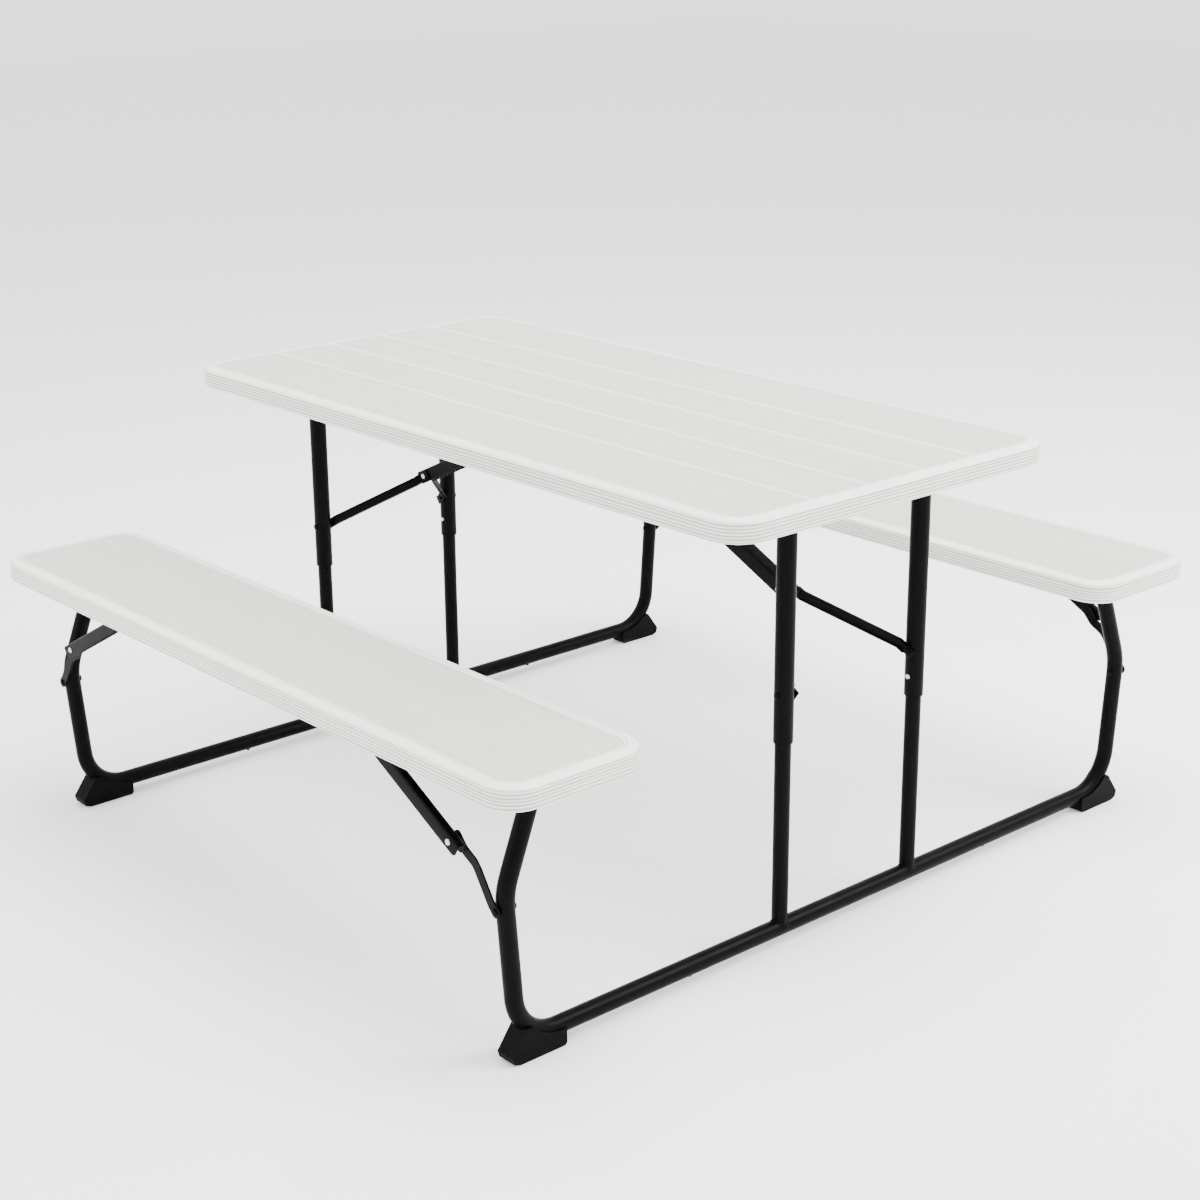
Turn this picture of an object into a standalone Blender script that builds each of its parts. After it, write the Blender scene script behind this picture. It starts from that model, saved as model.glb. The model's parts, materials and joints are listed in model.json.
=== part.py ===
"""Folding picnic table with two benches: blow-moulded boards on a folding tube frame.

Metres, +Z up, floor at Z = 0. X runs along the boards (+X is the near end, -X the far end)
and Y runs across them (-Y is the left bench, +Y the right bench). Origin: on the floor, at
the centre of the footprint.
"""

import math

import bmesh
import bpy
from mathutils import Matrix, Vector

# Tabletop board
TABLE_LENGTH = 1.372
TABLE_WIDTH = 0.686
TABLE_HEIGHT = 0.724
TABLE_CORNER = 0.055
TABLE_RIM = 0.040

# Bench boards
BENCH_LENGTH = 1.372
BENCH_WIDTH = 0.254
BENCH_HEIGHT = 0.451
BENCH_CORNER = 0.050
BENCH_RIM = 0.018
BENCH_CENTRE = 0.618

# Both kinds of board
BOARD_THICKNESS = 0.036
BOARD_RECESS = 0.010
BOARD_SKIN = 0.003
BOARD_EDGE = 0.006
VENT_RADIUS = 0.005
CORNER_STEPS = 5

# Base frames: a ground rail with two posts, and a bent leg at each end of it
FRAME_INSET = 0.094
LEG_TUBE = 0.027
POST_TUBE = 0.025
TUBE_WALL = 0.0014
LEG_FOOT_INSET = 0.078
LEG_KNEE_INSET = 0.066
LEG_KNEE_Z = 0.257
LEG_BEND = 0.075
KNEE_BEND = 0.110
LEG_LEAN = math.radians(21.0)
SPLICE_Y = 0.318
SPLICE_LENGTH = 0.036
POST_Y = 0.146

# Bench hinge, its bracket, and the tab that anchors the brace
HINGE_PIN = 0.004
PIN_HEAD = 0.0065
PIN_HEAD_THICKNESS = 0.0025
HEAD_RIM_SHARE = 0.45
HEAD_TOP_SHARE = 0.55
TUBE_END_PAST_PIN = 0.010
PLATE = 0.003
HINGE_EAR = 0.013
BRACKET_PAST_HINGE = 0.022
BRACKET_PAST_ANCHOR = 0.014
ANCHOR_TAB = 0.010
TAB_BELOW_PIN = 0.008
PIN_PAST_CHANNEL = 0.002

# Bench brace, in a plane just outside the leg tube
BRACE_PIVOT_DROP = 0.1655
BENCH_BRACE_SPAN = 0.228
BENCH_BRACE_SLACK = 0.0040
BENCH_CHANNEL_WIDTH = 0.014
BENCH_CHANNEL_DEPTH = 0.022
CHANNEL_WALL = 0.0015
LINK_WIDTH = 0.016
LINK_JOG = 0.008
LINK_BENDS = (0.10, 0.56, 0.64, 0.84)
LINK_END = 0.009
BOLT = 0.003
BOLT_HEAD = 0.0055
BOLT_HEAD_THICKNESS = 0.0024

# Table legs, and the rails that carry them
SLEEVE_LENGTH = 0.3498
SLEEVE_GAP = 0.0017
SPIGOT_LENGTH = 0.062
HINGE_TUBE = 0.022
HINGE_TUBE_PAST_RAIL = 0.011
SIDE_RAIL_INSET = 0.023
SIDE_RAIL_WIDTH = 0.018
SIDE_RAIL_LIP = 0.004
SIDE_RAIL_END = 0.026

# Table brace, on the centre line
ARM_PIVOT_DROP = 0.274
TABLE_ANCHOR_X = 0.075
TABLE_BRACE_SLACK = 0.0018
CENTRE_BRACKET_END = 0.016
CENTRE_EAR_BELOW_PIN = 0.009
TABLE_CHANNEL_WIDTH = 0.025
TABLE_CHANNEL_DEPTH = 0.024
ARM_DEPTH = 0.016
ARM_END = 0.011
ARM_OUTER_STRAIGHT = 0.014
ARM_INNER_STRAIGHT = 0.020
CHANNEL_BACK_END = 0.008
KNEE_OVERHANG = 0.012
CHANNEL_OVERHANG = 0.020

# Snap buttons
BUTTON_RISE = 0.033
BUTTON = 0.004
BUTTON_FLANGE = 0.0055
BUTTON_PROUD = 0.003
BUTTON_LENGTH = 0.012
BUTTON_DOME = 0.002
BUTTON_TIP_RISE = 0.0006
BUTTON_TIP_SHARE = 0.75

# Feet
FOOT_SOLE = 0.0125
FOOT_CHEEK = 0.0035
FOOT_TOE = 0.077
TOE_LEAN = 0.004
FOOT_HEEL = 0.017
HEEL_TOP = 0.050
HEEL_CHAMFER = 0.014
HEEL_CORNER = 0.003
SOLE_EDGE = 0.004
HEEL_WALL = 0.001

# Fits
GAP = 0.0003
RUNNING_GAP = 0.001
FOLD_CLEARANCE = 0.001
SLEEVE_CLEARANCE = 0.0011
SLEEVE_FOLD_CLEARANCE = 0.004
BOLT_SEAT = 0.0005
CUT_PAST = 0.002
TUBE_SIDES = 16
SMALL_SIDES = 12

ENDS = (("near", 1), ("far", -1))
SIDES = (("left", -1), ("right", 1))

# Sizes and places that follow from the sizes above
FRAME_X = TABLE_LENGTH / 2 - FRAME_INSET
RAIL_HEIGHT = LEG_TUBE / 2 + FOOT_SOLE
FOOT_WIDTH = LEG_TUBE + 2 * FOOT_CHEEK
SLEEVE_TUBE = POST_TUBE + 2 * (TUBE_WALL + SLEEVE_CLEARANCE)
HINGE_DROP = BOARD_RECESS + LEG_TUBE / 2 + FOLD_CLEARANCE
TABLE_HINGE_DROP = SLEEVE_TUBE / 2 + SLEEVE_FOLD_CLEARANCE
SIDE_RAIL_DEPTH = TABLE_HINGE_DROP + HINGE_TUBE / 2 + SIDE_RAIL_LIP
SIDE_RAIL_Y = TABLE_WIDTH / 2 - TABLE_RIM - SIDE_RAIL_INSET - SIDE_RAIL_WIDTH
TABLE_FIELD = TABLE_HEIGHT - BOARD_THICKNESS + BOARD_RECESS
BENCH_FIELD = BENCH_HEIGHT - BOARD_THICKNESS + BOARD_RECESS
BENCH_HINGE_Z = BENCH_FIELD - HINGE_DROP
TABLE_HINGE_Z = TABLE_FIELD - TABLE_HINGE_DROP
BENCH_OUTER_EDGE = BENCH_CENTRE + BENCH_WIDTH / 2
LEG_FOOT_Y = BENCH_OUTER_EDGE - LEG_FOOT_INSET
LEG_KNEE_Y = BENCH_OUTER_EDGE - LEG_KNEE_INSET
LEG_TOP_Y = LEG_KNEE_Y - (BENCH_HINGE_Z - LEG_KNEE_Z) * math.tan(LEG_LEAN)
BRACE_PIVOT_Z = BENCH_HINGE_Z - BRACE_PIVOT_DROP
ARM_PIVOT_Z = TABLE_HINGE_Z - ARM_PIVOT_DROP
SLEEVE_END = TABLE_HINGE_Z - SLEEVE_LENGTH
POST_TOP = SLEEVE_END - SLEEVE_GAP
BUTTON_Z = SLEEVE_END + BUTTON_RISE
LINK_Y = LEG_KNEE_Y + LEG_TUBE / 2 + RUNNING_GAP
CHANNEL_Y = LINK_Y + PLATE + GAP + BOLT_HEAD_THICKNESS + RUNNING_GAP
ARM_EAR_Y = POST_Y - SLEEVE_TUBE / 2 - RUNNING_GAP - PLATE
APEX_EAR_Y = TABLE_CHANNEL_WIDTH / 2 + RUNNING_GAP
TABLE_BRACE_SPAN = FRAME_X - TABLE_ANCHOR_X

# Ears of the bench hinge, clear of a leg that leans between them as it swings
LEANING_WALL = LEG_TUBE / 2 * (1 / math.cos(LEG_LEAN) - 1) + RUNNING_GAP
INNER_EAR_Y = LEG_TOP_Y - LEG_TUBE / 2 - TUBE_END_PAST_PIN * math.sin(LEG_LEAN) - LEANING_WALL
OUTER_EAR_Y = LEG_TOP_Y + LEG_TUBE / 2 + math.hypot(HINGE_EAR, HINGE_EAR) * math.tan(LEG_LEAN) + LEANING_WALL


def brace(span, drop, slack):
    """Lower link, upper link and their slopes, for a brace that lies flat when it is folded.

    In use its knee stands a little above the line between its ends, past dead centre: the two
    links are longer than that line by the slack.
    """
    line = math.hypot(span, drop)
    folded = span - drop
    lower = (line + slack - folded) / 2
    upper = (line + slack + folded) / 2
    slope = math.atan2(drop, span)
    lower_angle = math.acos((lower**2 + line**2 - upper**2) / (2 * lower * line))
    upper_angle = math.acos((upper**2 + line**2 - lower**2) / (2 * upper * line))
    return lower, upper, slope + lower_angle, slope - upper_angle


BENCH_LINK, BENCH_CHANNEL, BENCH_LINK_SLOPE, BENCH_CHANNEL_SLOPE = brace(
    BENCH_BRACE_SPAN, BRACE_PIVOT_DROP, BENCH_BRACE_SLACK
)
TABLE_ARM, TABLE_CHANNEL, TABLE_ARM_SLOPE, TABLE_CHANNEL_SLOPE = brace(
    TABLE_BRACE_SPAN, ARM_PIVOT_DROP, TABLE_BRACE_SLACK
)


def clear_scene():
    """Remove every object of the scene that the script starts in."""
    for old in list(bpy.data.objects):
        bpy.data.objects.remove(old, do_unlink=True)


def finish(name, colour, roughness, metallic):
    """Principled material with one colour, roughness and metallic value."""
    material = bpy.data.materials.new(name)
    material.use_nodes = True
    shader = material.node_tree.nodes["Principled BSDF"]
    shader.inputs["Base Color"].default_value = (*colour, 1.0)
    shader.inputs["Roughness"].default_value = roughness
    shader.inputs["Metallic"].default_value = metallic
    return material


def joint_axis(name, location, parent=None):
    """Empty on a joint's axis, which carries the pieces that move with the joint."""
    empty = bpy.data.objects.new(name, None)
    bpy.context.collection.objects.link(empty)
    empty.empty_display_size = 0.03
    empty.parent = parent
    base = axis_place(parent) if parent else Vector()
    empty.location = Vector(location) - base
    return empty


def axis_place(empty):
    """World position of an empty, through its parents."""
    place = Vector()
    while empty:
        place = place + empty.location
        empty = empty.parent
    return place


def piece(name, shape, material, axis=None):
    """Object from a bmesh in world coordinates, with its origin on its axis."""
    origin = axis_place(axis) if axis else Vector()
    bmesh.ops.recalc_face_normals(shape, faces=shape.faces)
    bmesh.ops.translate(shape, verts=shape.verts, vec=-origin)
    mesh = bpy.data.meshes.new(name)
    shape.to_mesh(mesh)
    shape.free()
    mesh.shade_smooth()
    mesh.set_sharp_from_angle(angle=math.radians(35))
    obj = bpy.data.objects.new(name, mesh)
    bpy.context.collection.objects.link(obj)
    if axis:
        obj.parent = axis
    if material:
        mesh.materials.append(material)
    return obj


def combine(obj, other, operation):
    """Boolean of a piece with a helper, which stays in the scene as a hidden wire."""
    other.hide_render = True
    other.display_type = "WIRE"
    modifier = obj.modifiers.new(operation.title(), "BOOLEAN")
    modifier.operation = operation
    modifier.object = other
    modifier.solver = "EXACT"


def cut(obj, shape, axis=None):
    combine(obj, piece(obj.name + "_cutter", shape, None, axis), "DIFFERENCE")


def join(obj, shape, axis=None):
    combine(obj, piece(obj.name + "_addition", shape, None, axis), "UNION")


def box(low, high):
    """Box between two corners."""
    low = Vector(low)
    high = Vector(high)
    shape = bmesh.new()
    bmesh.ops.create_cube(shape, size=1.0)
    bmesh.ops.scale(shape, verts=shape.verts, vec=high - low)
    bmesh.ops.translate(shape, verts=shape.verts, vec=(low + high) / 2)
    return shape


def rod(start, end, radius, sides=SMALL_SIDES):
    """Round bar between two points."""
    start = Vector(start)
    end = Vector(end)
    along = end - start
    turn = along.to_track_quat("Z", "Y").to_matrix().to_4x4()
    shape = bmesh.new()
    bmesh.ops.create_cone(
        shape,
        cap_ends=True,
        segments=sides,
        radius1=radius,
        radius2=radius,
        depth=along.length,
        matrix=Matrix.Translation((start + end) / 2) @ turn,
    )
    return shape


def turned(profile, origin, direction, sides=SMALL_SIDES):
    """Round solid from (distance along, radius) points that start and end on the axis."""
    turn = Vector(direction).to_track_quat("Z", "Y").to_matrix().to_4x4()
    shape = bmesh.new()
    points = [shape.verts.new((radius, 0.0, along)) for along, radius in profile]
    edges = [shape.edges.new(pair) for pair in zip(points, points[1:])]
    bmesh.ops.spin(
        shape,
        geom=points + edges,
        cent=(0, 0, 0),
        axis=(0, 0, 1),
        angle=2 * math.pi,
        steps=sides,
        use_merge=True,
    )
    bmesh.ops.remove_doubles(shape, verts=shape.verts, dist=1e-6)
    bmesh.ops.transform(shape, matrix=Matrix.Translation(origin) @ turn, verts=shape.verts)
    return shape


def prism(outline, place, depth):
    """Outline of (a, b) points, put in space by place(a, b), and extruded by the vector depth."""
    shape = bmesh.new()
    face = shape.faces.new([shape.verts.new(place(a, b)) for a, b in outline])
    grown = bmesh.ops.extrude_face_region(shape, geom=[face])["geom"]
    corners = [part for part in grown if isinstance(part, bmesh.types.BMVert)]
    bmesh.ops.translate(shape, verts=corners, vec=Vector(depth))
    return shape


def rounded_outline(length, width, radius):
    """Rectangle with round corners, centred on the origin."""
    points = []
    for quarter, (sx, sy) in enumerate(((1, 1), (-1, 1), (-1, -1), (1, -1))):
        for step in range(CORNER_STEPS + 1):
            angle = (quarter + step / CORNER_STEPS) * math.pi / 2
            x = sx * (length / 2 - radius) + radius * math.cos(angle)
            y = sy * (width / 2 - radius) + radius * math.sin(angle)
            points.append((x, y))
    return points


def slab(length, width, radius, centre_y, low, high):
    """Level slab with round corners."""
    outline = rounded_outline(length, width, radius)
    return prism(outline, lambda a, b: (a, b + centre_y, low), (0, 0, high - low))


def thick_line(points, width):
    """Outline of a bent strip of constant width along a line of (a, b) points."""
    line = [Vector(point) for point in points]
    left = []
    right = []
    for index, point in enumerate(line):
        before = (point - line[index - 1]).normalized() if index else None
        after = (line[index + 1] - point).normalized() if index + 1 < len(line) else None
        ahead = before or after
        middle = (ahead + (after or before)).normalized()
        side = Vector((-middle.y, middle.x))
        reach = width / 2 / max(0.5, middle.dot(ahead))
        left.append(point + side * reach)
        right.append(point - side * reach)
    return [tuple(point) for point in left + right[::-1]]


def board(name, length, width, height, corner, rim, centre_y, material, axis=None):
    """Blow-moulded board: hollow, with a recessed underside and a vent hole in it."""
    bottom = height - BOARD_THICKNESS
    field = bottom + BOARD_RECESS
    shape = slab(length, width, corner, centre_y, bottom, height)
    rims = [edge for edge in shape.edges if abs(edge.verts[0].co.z - edge.verts[1].co.z) < 1e-6]
    bmesh.ops.bevel(
        shape, geom=rims, offset=BOARD_EDGE, segments=2, profile=0.5, affect="EDGES", material=-1
    )
    obj = piece(name, shape, material, axis)
    inside = 2 * rim
    recess = slab(length - inside, width - inside, corner - rim / 2, centre_y, bottom - CUT_PAST, field)
    cut(obj, recess, axis)
    inside = 2 * (BOARD_SKIN + BOARD_EDGE / 2)
    low = field + BOARD_SKIN
    hollow = slab(length - inside, width - inside, corner - inside / 2, centre_y, low, height - BOARD_SKIN)
    cut(obj, hollow, axis)
    vent = rod((0, centre_y + width / 4, bottom), (0, centre_y + width / 4, low + CUT_PAST), VENT_RADIUS)
    cut(obj, vent, axis)
    return obj


def arc(centre, radius, start, end, steps):
    """Points of an arc in the YZ plane, both ends included."""
    points = []
    for step in range(steps + 1):
        angle = start + (end - start) * step / steps
        points.append((centre[0] + radius * math.cos(angle), centre[1] + radius * math.sin(angle)))
    return points


def leg_line(foot_bend_steps=6, knee_steps=3):
    """(y, z) centre line of a right-hand leg, from the splice in the rail to the bench hinge."""
    outward = math.atan2(LEG_KNEE_Y - LEG_FOOT_Y, LEG_KNEE_Z - RAIL_HEIGHT - LEG_BEND)
    centre = (LEG_FOOT_Y - LEG_BEND, RAIL_HEIGHT + LEG_BEND)
    line = [(SPLICE_Y, RAIL_HEIGHT)]
    line += arc(centre, LEG_BEND, -math.pi / 2, -outward, foot_bend_steps)
    knee_half = (outward + LEG_LEAN) / 2
    back = KNEE_BEND * math.tan(knee_half)
    start = (LEG_KNEE_Y - back * math.sin(outward), LEG_KNEE_Z - back * math.cos(outward))
    centre = (start[0] - KNEE_BEND * math.cos(outward), start[1] + KNEE_BEND * math.sin(outward))
    line += arc(centre, KNEE_BEND, -outward, LEG_LEAN, knee_steps)
    past = TUBE_END_PAST_PIN
    line.append((LEG_TOP_Y - past * math.sin(LEG_LEAN), BENCH_HINGE_Z + past * math.cos(LEG_LEAN)))
    return line


def leg_centre_y(z):
    """Distance of the leg's centre line from the middle of the table, at a height above its foot."""
    line = leg_line()[2:]
    for (y_low, z_low), (y_high, z_high) in zip(line, line[1:]):
        if z_low <= z <= z_high:
            return y_low + (y_high - y_low) * (z - z_low) / (z_high - z_low)
    return LEG_TOP_Y


def swept(line, place, radius):
    """Round bar along a line of (y, z) points."""
    curve = bpy.data.curves.new("line", "CURVE")
    curve.dimensions = "3D"
    curve.bevel_depth = radius
    curve.bevel_resolution = TUBE_SIDES // 2 - 2
    curve.use_fill_caps = True
    spline = curve.splines.new("POLY")
    spline.points.add(len(line) - 1)
    for point, (y, z) in zip(spline.points, line):
        point.co = (*place(y, z), 1.0)
    holder = bpy.data.objects.new("line", curve)
    mesh = bpy.data.meshes.new_from_object(holder)
    shape = bmesh.new()
    shape.from_mesh(mesh)
    bmesh.ops.remove_doubles(shape, verts=shape.verts, dist=1e-6)
    bpy.data.objects.remove(holder)
    bpy.data.curves.remove(curve)
    bpy.data.meshes.remove(mesh)
    return shape


def leg(name, sx, sy, material, axis):
    """Bench leg: one bent tube with a spliced rail end, drilled for its hinge pin and brace bolt."""
    x = sx * FRAME_X
    line = leg_line()
    shape = swept(line, lambda y, z: (x, sy * y, z), LEG_TUBE / 2)
    obj = piece(name, shape, material, axis)
    line[0] = (line[0][0] - CUT_PAST, line[0][1])
    line[-1] = (line[-1][0] - CUT_PAST * math.sin(LEG_LEAN), line[-1][1] + CUT_PAST * math.cos(LEG_LEAN))
    cut(obj, swept(line, lambda y, z: (x, sy * y, z), LEG_TUBE / 2 - TUBE_WALL), axis)
    for y, z, radius in (
        (LEG_TOP_Y, BENCH_HINGE_Z, HINGE_PIN + GAP),
        (leg_centre_y(BRACE_PIVOT_Z), BRACE_PIVOT_Z, BOLT + GAP),
    ):
        drill = rod((x, sy * (y - LEG_TUBE), z), (x, sy * (y + LEG_TUBE), z), radius)
        cut(obj, drill, axis)
    return obj


def foot(name, sx, sy, material, axis):
    """Moulded shoe under the bend: flat sole, raised heel, and cheeks that hold the tube."""
    heel_y = LEG_FOOT_Y + FOOT_HEEL
    toe_y = LEG_FOOT_Y - FOOT_TOE
    centre = (LEG_FOOT_Y - LEG_BEND, RAIL_HEIGHT + LEG_BEND)
    heel_angle = math.asin((HEEL_TOP - centre[1]) / LEG_BEND)
    outline = [(toe_y, 0.0), (heel_y - HEEL_CHAMFER, 0.0)]
    outline += [(heel_y - HEEL_CORNER, SOLE_EDGE), (heel_y, HEEL_CHAMFER)]
    heel_start = math.cos(heel_angle) * (LEG_BEND + LEG_TUBE / 2) + centre[0] + HEEL_WALL
    outline.append((heel_start, HEEL_TOP))
    outline += arc(centre, LEG_BEND, heel_angle, -math.pi / 2, 5)
    outline.append((toe_y - TOE_LEAN, RAIL_HEIGHT))
    outline.append((toe_y - TOE_LEAN, SOLE_EDGE))
    low = sx * FRAME_X - FOOT_WIDTH / 2
    shape = prism(outline, lambda y, z: (low, sy * y, z), (FOOT_WIDTH, 0, 0))
    obj = piece(name, shape, material, axis)
    line = leg_line()
    line[0] = (toe_y - TOE_LEAN - CUT_PAST, RAIL_HEIGHT)
    tube = swept(line, lambda y, z: (sx * FRAME_X, sy * y, z), LEG_TUBE / 2 + GAP)
    cut(obj, tube, axis)
    return obj


def base_rail(name, sx, material, axis):
    """Welded middle of a base frame: ground rail with splice ends, and two open posts."""
    x = sx * FRAME_X
    splice = LEG_TUBE / 2 - TUBE_WALL - 2 * GAP
    end = SPLICE_Y + SPLICE_LENGTH
    face = SPLICE_Y - GAP
    z = RAIL_HEIGHT
    shape = turned(
        [(-end, 0), (-end, splice), (-face, splice), (-face, LEG_TUBE / 2),
         (face, LEG_TUBE / 2), (face, splice), (end, splice), (end, 0)],
        (x, 0, z), (0, 1, 0), TUBE_SIDES,
    )
    obj = piece(name, shape, material, axis)
    for side in (-1, 1):
        join(obj, rod((x, side * POST_Y, z), (x, side * POST_Y, POST_TOP), POST_TUBE / 2, TUBE_SIDES), axis)
    bore = splice - TUBE_WALL
    cut(obj, rod((x, -end - CUT_PAST, z), (x, end + CUT_PAST, z), bore), axis)
    for side in (-1, 1):
        low = z + LEG_TUBE / 2
        high = POST_TOP + CUT_PAST
        cut(obj, rod((x, side * POST_Y, low), (x, side * POST_Y, high), POST_TUBE / 2 - TUBE_WALL), axis)
    return obj


def bench_bracket(name, sx, sy, material):
    """Pressed plate under a bench: ears for the leg's hinge pin, and a tab with the brace's pin."""
    x = sx * FRAME_X
    anchor = sx * (FRAME_X - BENCH_BRACE_SPAN)
    top = BENCH_FIELD - GAP
    tab = CHANNEL_Y - RUNNING_GAP - PLATE
    last = tab + PLATE
    xs = sorted((x + sx * BRACKET_PAST_HINGE, anchor - sx * BRACKET_PAST_ANCHOR))
    ys = sorted((sy * (INNER_EAR_Y - PLATE), sy * last))
    obj = piece(name, box((xs[0], ys[0], top - PLATE), (xs[1], ys[1], top)), material)
    hinge_low = BENCH_HINGE_Z - HINGE_EAR
    for centre, span, start, low in (
        (x, HINGE_EAR, INNER_EAR_Y - PLATE, hinge_low),
        (x, HINGE_EAR, OUTER_EAR_Y, hinge_low),
        (anchor, ANCHOR_TAB, tab, BENCH_HINGE_Z - TAB_BELOW_PIN),
    ):
        ears = sorted((sy * start, sy * (start + PLATE)))
        join(obj, box((centre - span, ears[0], low), (centre + span, ears[1], top - PLATE / 2)))
    pin_end = CHANNEL_Y + BENCH_CHANNEL_WIDTH + PIN_PAST_CHANNEL
    pin_start = tab + PLATE / 2
    join(obj, rod((anchor, sy * pin_start, BENCH_HINGE_Z), (anchor, sy * pin_end, BENCH_HINGE_Z), BOLT))
    reach = PLATE + CUT_PAST
    start = (x, sy * (INNER_EAR_Y - reach), BENCH_HINGE_Z)
    end = (x, sy * (OUTER_EAR_Y + reach), BENCH_HINGE_Z)
    cut(obj, rod(start, end, HINGE_PIN + GAP))
    return obj


def headed_pin(name, x, sy, z, start, end, radius, head, thickness, material, axis=None):
    """Pin along Y with a domed head at each end, its shank from start to end."""
    dome = thickness * HEAD_RIM_SHARE
    flat = head * HEAD_TOP_SHARE
    profile = [(-thickness, 0), (-thickness, flat), (-dome, head), (0, head), (0, radius)]
    length = end - start
    profile += [(length, radius), (length, head), (length + dome, head)]
    profile += [(length + thickness, flat), (length + thickness, 0)]
    shape = turned(profile, (x, sy * start, z), (0, sy, 0))
    return piece(name, shape, material, axis)


def leg_pin(name, sx, sy, material):
    """Hinge pin through the bracket's ears and the top of the leg."""
    start = INNER_EAR_Y - PLATE - GAP
    end = OUTER_EAR_Y + PLATE + GAP
    x = sx * FRAME_X
    return headed_pin(
        name, x, sy, BENCH_HINGE_Z, start, end, HINGE_PIN, PIN_HEAD, PIN_HEAD_THICKNESS, material
    )


def channel_section(width, depth):
    """U section, open downwards, as (across, up) points."""
    half = width / 2
    top = depth / 2
    wall = CHANNEL_WALL
    return [
        (-half, -top), (-half, top), (half, top), (half, -top),
        (half - wall, -top), (half - wall, top - wall), (-half + wall, top - wall), (-half + wall, -top),
    ]


def channel(name, anchor, sx, size, length, slope, material, axis):
    """Upper brace link: a U channel from its anchor pin down towards the leg."""
    width, depth = size
    along = Vector((sx * math.cos(slope), 0, -math.sin(slope)))
    up = Vector((sx * math.sin(slope), 0, math.cos(slope)))
    back = Vector(anchor) - along * CHANNEL_BACK_END

    def place(a, b):
        return back + Vector((0, a, 0)) + up * b

    reach = along * (CHANNEL_BACK_END + length + CHANNEL_OVERHANG)
    shape = prism(channel_section(width, depth), place, reach)
    obj = piece(name, shape, material, axis)
    hole = rod(
        Vector(anchor) - Vector((0, width, 0)), Vector(anchor) + Vector((0, width, 0)), BOLT + GAP
    )
    cut(obj, hole, axis)
    return obj


def bench_link(name, sx, sy, material, axis):
    """Lower brace link of a bench: a flat strip with a jog, outside the leg tube."""
    along = Vector((-sx * math.cos(BENCH_LINK_SLOPE), 0, math.sin(BENCH_LINK_SLOPE)))
    up = Vector((sx * math.sin(BENCH_LINK_SLOPE), 0, math.cos(BENCH_LINK_SLOPE)))
    pivot = Vector((sx * FRAME_X, sy * LINK_Y, BRACE_PIVOT_Z))
    bends = [BENCH_LINK * share for share in LINK_BENDS]
    line = [(-LINK_END, 0.0), (bends[0], 0.0), (bends[1], LINK_JOG), (bends[2], LINK_JOG), (bends[3], 0.0)]
    line.append((BENCH_LINK + KNEE_OVERHANG, 0.0))
    outline = thick_line(line, LINK_WIDTH)
    shape = prism(outline, lambda a, b: pivot + along * a + up * b, (0, sy * PLATE, 0))
    obj = piece(name, shape, material, axis)
    hole = rod(
        pivot - Vector((0, sy * CUT_PAST, 0)), pivot + Vector((0, sy * (PLATE + CUT_PAST), 0)), BOLT + GAP
    )
    cut(obj, hole, axis)
    return obj


def link_bolt(name, sx, sy, material, axis):
    """Pivot bolt through the leg tube and the lower link, with a domed nut on the inner side."""
    start = leg_centre_y(BRACE_PIVOT_Z) - LEG_TUBE / 2 - BOLT_SEAT
    end = LINK_Y + PLATE + GAP
    x = sx * FRAME_X
    return headed_pin(
        name, x, sy, BRACE_PIVOT_Z, start, end, BOLT, BOLT_HEAD, BOLT_HEAD_THICKNESS, material, axis
    )


def table_leg(name, sx, material, axis):
    """Welded table leg: a hinge tube across the table, and two sleeves that fit over the posts."""
    x = sx * FRAME_X
    reach = SIDE_RAIL_Y + HINGE_TUBE_PAST_RAIL
    start = (x, -reach, TABLE_HINGE_Z)
    end = (x, reach, TABLE_HINGE_Z)
    obj = piece(name, rod(start, end, HINGE_TUBE / 2, TUBE_SIDES), material, axis)
    for side in (-1, 1):
        y = side * POST_Y
        join(obj, rod((x, y, SLEEVE_END), (x, y, TABLE_HINGE_Z), SLEEVE_TUBE / 2, TUBE_SIDES), axis)
    past = Vector((0, CUT_PAST, 0))
    cut(obj, rod(Vector(start) - past, Vector(end) + past, HINGE_TUBE / 2 - TUBE_WALL), axis)
    bore = SLEEVE_TUBE / 2 - TUBE_WALL
    roof = TABLE_HINGE_Z - HINGE_TUBE / 2 - CUT_PAST
    for side in (-1, 1):
        y = side * POST_Y
        cut(obj, rod((x, y, SLEEVE_END - CUT_PAST), (x, y, roof), bore, TUBE_SIDES), axis)
        wide = SLEEVE_TUBE / 2 + CUT_PAST
        cut(obj, rod((x, y - wide, ARM_PIVOT_Z), (x, y + wide, ARM_PIVOT_Z), BOLT + GAP), axis)
        hole = rod((x, y, BUTTON_Z), (x, y - side * wide, BUTTON_Z), BUTTON + GAP)
        cut(obj, hole, axis)
    return obj


def spigot(name, sx, sy, material, axis):
    """Top end of a post, inside the sleeve, drilled for its snap button."""
    x = sx * FRAME_X
    y = sy * POST_Y
    top = SLEEVE_END + SPIGOT_LENGTH
    obj = piece(name, rod((x, y, SLEEVE_END), (x, y, top), POST_TUBE / 2, TUBE_SIDES), material, axis)
    bore = POST_TUBE / 2 - TUBE_WALL
    cut(obj, rod((x, y, SLEEVE_END - CUT_PAST), (x, y, top + CUT_PAST), bore, TUBE_SIDES), axis)
    hole = rod((x, y, BUTTON_Z), (x, y - sy * POST_TUBE, BUTTON_Z), BUTTON + GAP)
    cut(obj, hole, axis)
    return obj


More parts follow.
